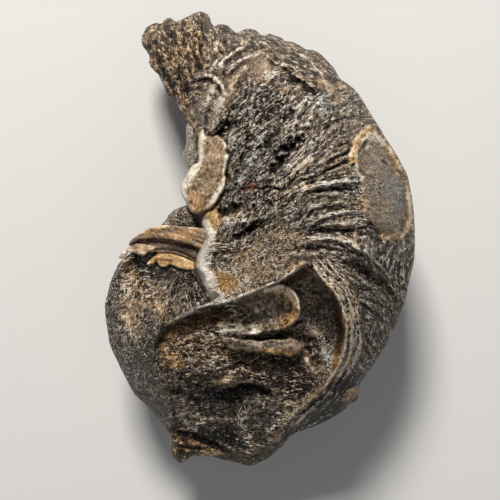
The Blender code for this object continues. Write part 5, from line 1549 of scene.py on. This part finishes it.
def ramp(tree, value, stops):
    node = add_node(tree, "ShaderNodeValToRGB", {0: value})
    band = node.color_ramp
    while len(band.elements) > 1:
        band.elements.remove(band.elements[-1])
    band.elements[0].position, band.elements[0].color = stops[0][0], linear(stops[0][1])
    for place, colour in stops[1:]:
        band.elements.new(place).color = linear(colour)
    return node.outputs["Color"]


def new_group(name, inputs, outputs, kind="NodeSocketFloat"):
    """A node group with its inputs and their usual values, and inside it the sockets that are given
    and those to fill."""
    group = bpy.data.node_groups.new(name, "ShaderNodeTree")
    for label, usual in inputs.items():
        socket = group.interface.new_socket(label, in_out="INPUT", socket_type="NodeSocketFloat")
        socket.default_value = usual
    for label in outputs:
        group.interface.new_socket(label, in_out="OUTPUT", socket_type=kind)
    return group, group.nodes.new("NodeGroupInput").outputs, group.nodes.new("NodeGroupOutput").inputs


def placed_group(tree, name, **values):
    """The outputs of a shared group that is given these values."""
    return add_node(tree, "ShaderNodeGroup", values, node_tree=bpy.data.node_groups[name]).outputs


def stone_colour_group():
    """Stone from dark to light, cool or warm."""
    inputs = {"Tone": 0.4, "Warm": 0.3}
    group, given, made = new_group("stone_colour", inputs, ["Color"], kind="NodeSocketColor")
    cool = ramp(group, given["Tone"], COOL_STONE)
    warm = ramp(group, given["Tone"], WARM_STONE)
    share = sums(group, "ADD", given["Warm"], 0.0, clamp=True)
    group.links.new(mixed(group, share, cool, warm), made["Color"])


def pointed(tree, level, share):
    """The level with its strongest values drawn out further, so that specks and pits stand apart."""
    size = sums(tree, "ABSOLUTE", level)
    return sums(tree, "MULTIPLY", level, sums(tree, "MULTIPLY_ADD", size, share, 0.55))


def give_speckle(group, given, made, level, sharpness):
    """Fills a group's speckle and height from the same level."""
    specks = pointed(group, level, sharpness)
    group.links.new(sums(group, "MULTIPLY", specks, given["Strength"]), made["Speckle"])
    group.links.new(level, made["Height"])


def mineral_grain_group():
    """Speckle and fine bumps of weathered mineral, and lone light and dark dots whose light ones
    are painted glints, on Object coordinates. Size is the size of a speck in millimetres."""
    group, given, made = new_group(
        "mineral_grain", {"Size": 0.3, "Strength": 0.1}, ["Speckle", "Height", "Specks"]
    )
    place = object_place(group)
    scale = sums(group, "DIVIDE", 1.0 / MM, given["Size"])
    cloud = swing(group, noise_level(group, place, scale, detail=1.0, roughness=0.7), 1.3)

    def cells(share):
        near = {"Vector": place, "Scale": sums(group, "MULTIPLY", scale, share)}
        return add_node(group, "ShaderNodeTexVoronoi", near, feature="F1").outputs

    flecks = swing(group, cells(0.9)["Color"], 0.45)
    give_speckle(group, given, made, sums(group, "ADD", cloud, flecks), sharpness=2.9)
    # lone dots, light and dark: the light ones are painted glints
    dots = cells(0.5)
    dot = sums(group, "MULTIPLY_ADD", dots["Distance"], -2.4, 1.0, clamp=True)
    pick = add_node(group, "ShaderNodeSeparateColor", {"Color": dots["Color"]})
    light = sums(group, "MULTIPLY_ADD", pick.outputs[0], 2.0, -1.0)
    cubed = sums(group, "MULTIPLY", sums(group, "MULTIPLY", light, light), light)
    group.links.new(sums(group, "MULTIPLY", dot, cubed), made["Specks"])


def fibres_group():
    """Fine fibres along the lines on which the painted run stays the same."""
    group, given, made = new_group("fibres", {"Run": 0.0, "Strength": 1.0}, ["Speckle", "Height"])
    place = object_place(group)
    levels = []
    for length, width, salt in ((1.0, 0.25, 0.0), (0.45, 0.18, 4.0)):
        turn = sums(group, "MULTIPLY_ADD", given["Run"], MM * length / width, salt)
        inputs = {"Vector": place, "W": turn, "Scale": 1.0 / (length * MM), "Detail": 0.0}
        fibre = add_node(group, "ShaderNodeTexNoise", inputs, noise_dimensions="4D")
        levels.append(sums(group, "SUBTRACT", fibre.outputs["Fac"], 0.5))
    level = sums(group, "MULTIPLY_ADD", levels[1], 0.8, levels[0])
    patches = noise_level(group, place, 0.45 / MM, detail=3.0)
    patchy = sums(group, "MULTIPLY_ADD", patches, 4.0, -1.1, clamp=True)
    level = sums(group, "MULTIPLY", level, sums(group, "MULTIPLY_ADD", patchy, 0.9, 0.45))
    give_speckle(group, given, made, level, sharpness=3.2)


def new_material(name):
    material = bpy.data.materials.new(name)
    material.use_nodes = True
    tree = material.node_tree
    return material, tree, tree.nodes["Principled BSDF"]


def painted_tone(tree, contrast):
    """The painted tone, with painted highlight on crests and painted shade in pits."""
    relief = sums(tree, "SUBTRACT", painted(tree, "relief"), 0.5)
    return sums(tree, "ADD", painted(tree, "tone"), sums(tree, "MULTIPLY", relief, contrast))


def stone_colour(tree, tone, warm):
    return placed_group(tree, "stone_colour", Tone=tone, Warm=warm)["Color"]


def add_bump(tree, surface, height, strength, depth):
    """Bumps of the given depth in millimetres."""
    inputs = {"Height": height, "Strength": strength, "Distance": depth * MM}
    bump = add_node(tree, "ShaderNodeBump", inputs)
    tree.links.new(bump.outputs["Normal"], surface.inputs["Normal"])


def stone_material(colours):
    """Weathered stone: painted tone and warmth, painted highlight on crests, painted shade in pits,
    and speckle drawn out along the growth lines. Some patches are worn smoother."""
    material, tree, surface = new_material("weathered_shell")
    place = object_place(tree)
    worn = noise_level(tree, place, 0.35 / MM, detail=3.0, roughness=0.6)
    worn = sums(tree, "MULTIPLY_ADD", worn, 3.6, -0.85)
    worn = sums(tree, "MINIMUM", sums(tree, "MAXIMUM", worn, 0.35), 1.6)
    amount = sums(tree, "MULTIPLY", painted(tree, "speckle"), worn)
    grain = placed_group(tree, "mineral_grain", Size=0.20, Strength=1.5)
    fibres = placed_group(tree, "fibres", Run=painted(tree, "run"), Strength=1.4)
    lined = painted(tree, "lined")

    def grain_or_fibres(output, specks):
        """The grain, the fibres where the stone is lined, and lone dots on both, the light ones
        painted glints.
        """
        value = between(tree, lined, grain[output], fibres[output])
        return sums(tree, "MULTIPLY_ADD", grain["Specks"], specks, value)

    drift = noise_level(tree, place, 0.22 / MM, detail=5.0, roughness=0.65)
    shift = sums(tree, "SUBTRACT", drift, 0.5)
    hues = noise_level(tree, place, 2.2 / MM, detail=2.0, roughness=0.7)
    tone = painted_tone(tree, colours.contrast)
    tone = sums(tree, "MULTIPLY_ADD", grain_or_fibres("Speckle", 1.5), amount, tone)
    tone = sums(tree, "ADD", tone, sums(tree, "MULTIPLY", shift, 0.22))
    warm = sums(tree, "ADD", painted(tree, "warm"), sums(tree, "MULTIPLY", shift, 0.9))
    warm = sums(tree, "ADD", warm, swing(tree, hues, 1.1))
    colour = mixed(tree, painted(tree, "rust"), stone_colour(tree, tone, warm), (*colours.rust, 1.0))
    tree.links.new(colour, surface.inputs["Base Color"])
    rough = sums(tree, "ADD", sums(tree, "MULTIPLY", drift, 0.3), 0.30)
    tree.links.new(rough, surface.inputs["Roughness"])
    height = sums(tree, "MULTIPLY", grain_or_fibres("Height", 0.35), amount)
    add_bump(tree, surface, height, strength=1.0, depth=0.68)
    surface.inputs["Specular IOR Level"].default_value = 0.36
    return material


def plate_material(name, grain_size, contrast, roughness, ior, bump):
    """A glossy plate of stone: the material, its nodes, its surface, its grain and its colour."""
    material, tree, surface = new_material(name)
    grain = placed_group(tree, "mineral_grain", Size=grain_size, Strength=0.3)
    tone = sums(tree, "ADD", painted_tone(tree, contrast), grain["Speckle"])
    surface.inputs["Roughness"].default_value = roughness
    surface.inputs["IOR"].default_value = ior
    add_bump(tree, surface, grain["Height"], bump, depth=0.1)
    return material, tree, surface, grain, stone_colour(tree, tone, painted(tree, "warm"))


def calcite_material(colours):
    """Honey calcite under ragged white frosting."""
    material, tree, surface, grain, colour = plate_material(
        "honey_calcite", grain_size=0.4, contrast=0.45, roughness=0.34, ior=1.6, bump=0.6
    )
    ragged = sums(tree, "MULTIPLY", grain["Height"], 0.7)
    frost = sums(tree, "ADD", painted(tree, "frost"), ragged, clamp=True)
    white = sums(tree, "ADD", 0.8, sums(tree, "MULTIPLY", grain["Height"], 0.5))
    pale = mixed(tree, white, FROST_SHADE, (*colours.frost, 1.0))
    tree.links.new(mixed(tree, frost, colour, pale), surface.inputs["Base Color"])
    return material


def lamella_material(colours):
    """Horny brown-gold lamellae with fine lines along them."""
    material, tree, surface, _, colour = plate_material(
        "horny_lamella", grain_size=0.34, contrast=0.5, roughness=0.38, ior=1.52, bump=0.3
    )
    tree.links.new(colour, surface.inputs["Base Color"])
    return material


def floor_material(colours):
    """A pale, faintly clouded floor."""
    material, tree, surface = new_material("pale_floor")
    cloud = noise_level(tree, object_place(tree), 6.0, detail=3.0)
    pale, shade = (*colours.floor, 1.0), (*(c * FLOOR_SHADE for c in colours.floor), 1.0)
    tree.links.new(mixed(tree, cloud, pale, shade), surface.inputs["Base Color"])
    surface.inputs["Roughness"].default_value = 0.8
    return material


def material_named(name, make):
    """The material of that name, made the first time that it is asked for."""
    found = bpy.data.materials.get(name)
    return found or make(bpy.context.scene.shell_colours)


# ---- the add-on

# The stage, in metres.
FLOOR_SIDE = 2.4
NEAREST_SEEN = 0.005
KEY_COLOUR = (1.0, 0.97, 0.92)
FILL_COLOUR = (0.95, 0.97, 1.0)
WORLD_COLOUR = (0.9, 0.93, 1.0, 1.0)
WORLD_STRENGTH = 0.12


class ShellSizes(bpy.types.PropertyGroup):
    shell_step: bpy.props.FloatProperty(
        name="Shell node spacing",
        description="Distance between the shell's nodes in plan, in millimetres",
        default=0.18, min=0.12, max=1.0,
    )
    plate_step: bpy.props.FloatProperty(
        name="Plate node spacing", description="Distance between a plate's nodes, in millimetres",
        default=0.16, min=0.1, max=1.0,
    )
    most_triangles: bpy.props.IntProperty(
        name="Shell triangles",
        description="Most triangles that the shell has once its buried side is thinned",
        default=196000, min=20000, max=199000,
    )
    view_width: bpy.props.FloatProperty(
        name="View width", description="Width that the camera sees at the waist of the shell",
        default=77.75 * MM, unit="LENGTH",
    )


class ShellColours(bpy.types.PropertyGroup):
    # how much painted highlight the crests get and painted shade the pits
    contrast: bpy.props.FloatProperty(
        name="Contrast of the relief", description="How much lighter crests are than pits",
        default=0.95, min=0, max=2,
    )
    rust: bpy.props.FloatVectorProperty(
        name="Rust", description="Rust along the crack", subtype="COLOR",
        default=(0.30, 0.065, 0.023), min=0, max=1,
    )
    frost: bpy.props.FloatVectorProperty(
        name="Frosting", description="White frosting of the calcite", subtype="COLOR",
        default=(1.0, 0.91, 0.73), min=0, max=1,
    )
    floor: bpy.props.FloatVectorProperty(
        name="Floor", description="Pale floor", subtype="COLOR",
        default=(0.74, 0.73, 0.71), min=0, max=1,
    )


class SHELL_OT_shared_looks(bpy.types.Operator):
    """Make the node groups that the materials share"""

    bl_idname = "shell.shared_looks"
    bl_label = "Shared looks"

    def execute(self, context):
        stone_colour_group()
        mineral_grain_group()
        fibres_group()
        return {"FINISHED"}


class SHELL_OT_weathered_shell(bpy.types.Operator):
    """Make the weathered shell in place of its plain solid"""

    bl_idname = "shell.weathered_shell"
    bl_label = "Weathered shell"

    def execute(self, context):
        sizes = context.scene.shell_sizes
        shell = closed_sheet(
            "weathered_shell", OUTLINE, sizes.shell_step, BORDER_BAND, exposed_side, buried_side
        )
        thin_lower_side(shell, sizes.most_triangles)
        roughen(shell, size=2.4, octaves=4, salt=91)
        cut_flat(shell)
        finish_piece(shell, material_named("weathered_shell", stone_material))
        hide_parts(NODE)
        return {"FINISHED"}


class SHELL_OT_calcite(bpy.types.Operator):
    """Make the tongue of honey calcite and the grey film beside it"""

    bl_idname = "shell.calcite"
    bl_label = "Calcite"

    def execute(self, context):
        step = context.scene.shell_sizes.plate_step
        look = material_named("honey_calcite", calcite_material)
        finish_piece(plate_sheet(CALCITE_TONGUE, calcite_texture, calcite_paint, step), look)
        finish_piece(plate_sheet(CALCITE_FILM, film_texture, film_paint, step), look)
        return {"FINISHED"}


class SHELL_OT_lamellae(bpy.types.Operator):
    """Make the horny lamellae that step down over the lobe"""

    bl_idname = "shell.lamellae"
    bl_label = "Lamellae"

    def execute(self, context):
        step = context.scene.shell_sizes.plate_step
        look = material_named("horny_lamella", lamella_material)
        for plate, tone, warm in LAMELLAE:
            finish_piece(plate_sheet(plate, lamella_texture, lamella_paint(tone, warm), step), look)
        return {"FINISHED"}


class SHELL_OT_aperture_plates(bpy.types.Operator):
    """Make the bowl and the shelf that stand in the aperture"""

    bl_idname = "shell.aperture_plates"
    bl_label = "Aperture plates"

    def execute(self, context):
        step = context.scene.shell_sizes.plate_step
        look = material_named("horny_lamella", lamella_material)
        finish_piece(plate_sheet(BOWL_PLATE, bowl_texture, bowl_paint, step), look)
        finish_piece(plate_sheet(SHELF_PLATE, shelf_texture, shelf_paint, step), look)
        return {"FINISHED"}


class SHELL_OT_stage(bpy.types.Operator):
    """Make the floor, the lights and the camera"""

    bl_idname = "shell.stage"
    bl_label = "Stage"

    def execute(self, context):
        bpy.ops.mesh.primitive_plane_add(size=FLOOR_SIDE, location=(0, 0, BOX_LOW[2]))
        floor = bpy.context.object
        floor.name = "floor"
        bpy.ops.object.transform_apply(location=True, rotation=True, scale=True)
        floor.data.materials.append(material_named("pale_floor", floor_material))
        eye = to_frame(np.array([[0.0, 0.0, WAIST + SIGHT]]))[0]
        waist = BOX_LOW[2] + WAIST * MM
        bpy.ops.object.camera_add(location=eye, rotation=(0, 0, LEAN))
        camera = bpy.context.object
        camera.data.angle = 2 * math.atan(context.scene.shell_sizes.view_width / 2 / (eye[2] - waist))
        camera.data.clip_start = NEAREST_SEEN
        context.scene.camera = camera
        add_area_light(
            "key", azimuth=-12.0, elevation=48.0, distance=0.55, size=0.13, power=3.6, colour=KEY_COLOUR
        )
        add_area_light(
            "fill", azimuth=150.0, elevation=55.0, distance=0.8, size=0.9, power=0.9, colour=FILL_COLOUR
        )
        world = bpy.data.worlds.new("studio")
        world.use_nodes = True
        background = world.node_tree.nodes["Background"]
        background.inputs["Color"].default_value = WORLD_COLOUR
        background.inputs["Strength"].default_value = WORLD_STRENGTH
        context.scene.world = world
        context.scene.view_settings.view_transform = "Standard"
        return {"FINISHED"}


def add_area_light(name, azimuth, elevation, distance, size, power, colour):
    """A square soft light aimed at the shell, azimuth clockwise from the top of the view."""
    turn = math.radians(azimuth) - LEAN
    rise = math.radians(elevation)
    target = np.array([0.0, 0.0, (BOX_LOW[2] + BOX_HIGH[2]) / 2])
    away = np.array([math.sin(turn) * math.cos(rise), math.cos(turn) * math.cos(rise), math.sin(rise)])
    bpy.ops.object.light_add(
        type="AREA", location=target + distance * away, rotation=(math.pi / 2 - rise, 0, math.pi - turn)
    )
    light = bpy.context.object
    light.name = name
    light.data.size = size
    light.data.energy = power
    light.data.color = colour


class SHELL_PT_panel(bpy.types.Panel):
    """Sidebar panel with the shell's sizes, colours and pieces"""

    bl_idname = "SHELL_PT_panel"
    bl_label = "Fossil shell"
    bl_space_type = "VIEW_3D"
    bl_region_type = "UI"
    bl_category = "Fossil shell"

    def draw(self, context):
        for group in (context.scene.shell_sizes, context.scene.shell_colours):
            for name in group.__annotations__:
                self.layout.prop(group, name)
        for operator in OPERATORS:
            self.layout.operator(operator.bl_idname)


OPERATORS = (
    SHELL_OT_shared_looks, SHELL_OT_weathered_shell, SHELL_OT_calcite, SHELL_OT_lamellae,
    SHELL_OT_aperture_plates, SHELL_OT_stage,
)
CLASSES = (ShellSizes, ShellColours) + OPERATORS + (SHELL_PT_panel,)


def register():
    for each in CLASSES:
        bpy.utils.register_class(each)
    bpy.types.Scene.shell_sizes = bpy.props.PointerProperty(type=ShellSizes)
    bpy.types.Scene.shell_colours = bpy.props.PointerProperty(type=ShellColours)


def unregister():
    del bpy.types.Scene.shell_colours
    del bpy.types.Scene.shell_sizes
    for each in reversed(CLASSES):
        bpy.utils.unregister_class(each)


def main():
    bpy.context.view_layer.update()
    register()
    bpy.ops.shell.shared_looks()
    bpy.ops.shell.weathered_shell()
    bpy.ops.shell.calcite()
    bpy.ops.shell.lamellae()
    bpy.ops.shell.aperture_plates()
    bpy.ops.shell.stage()


if __name__ == "__main__":
    main()
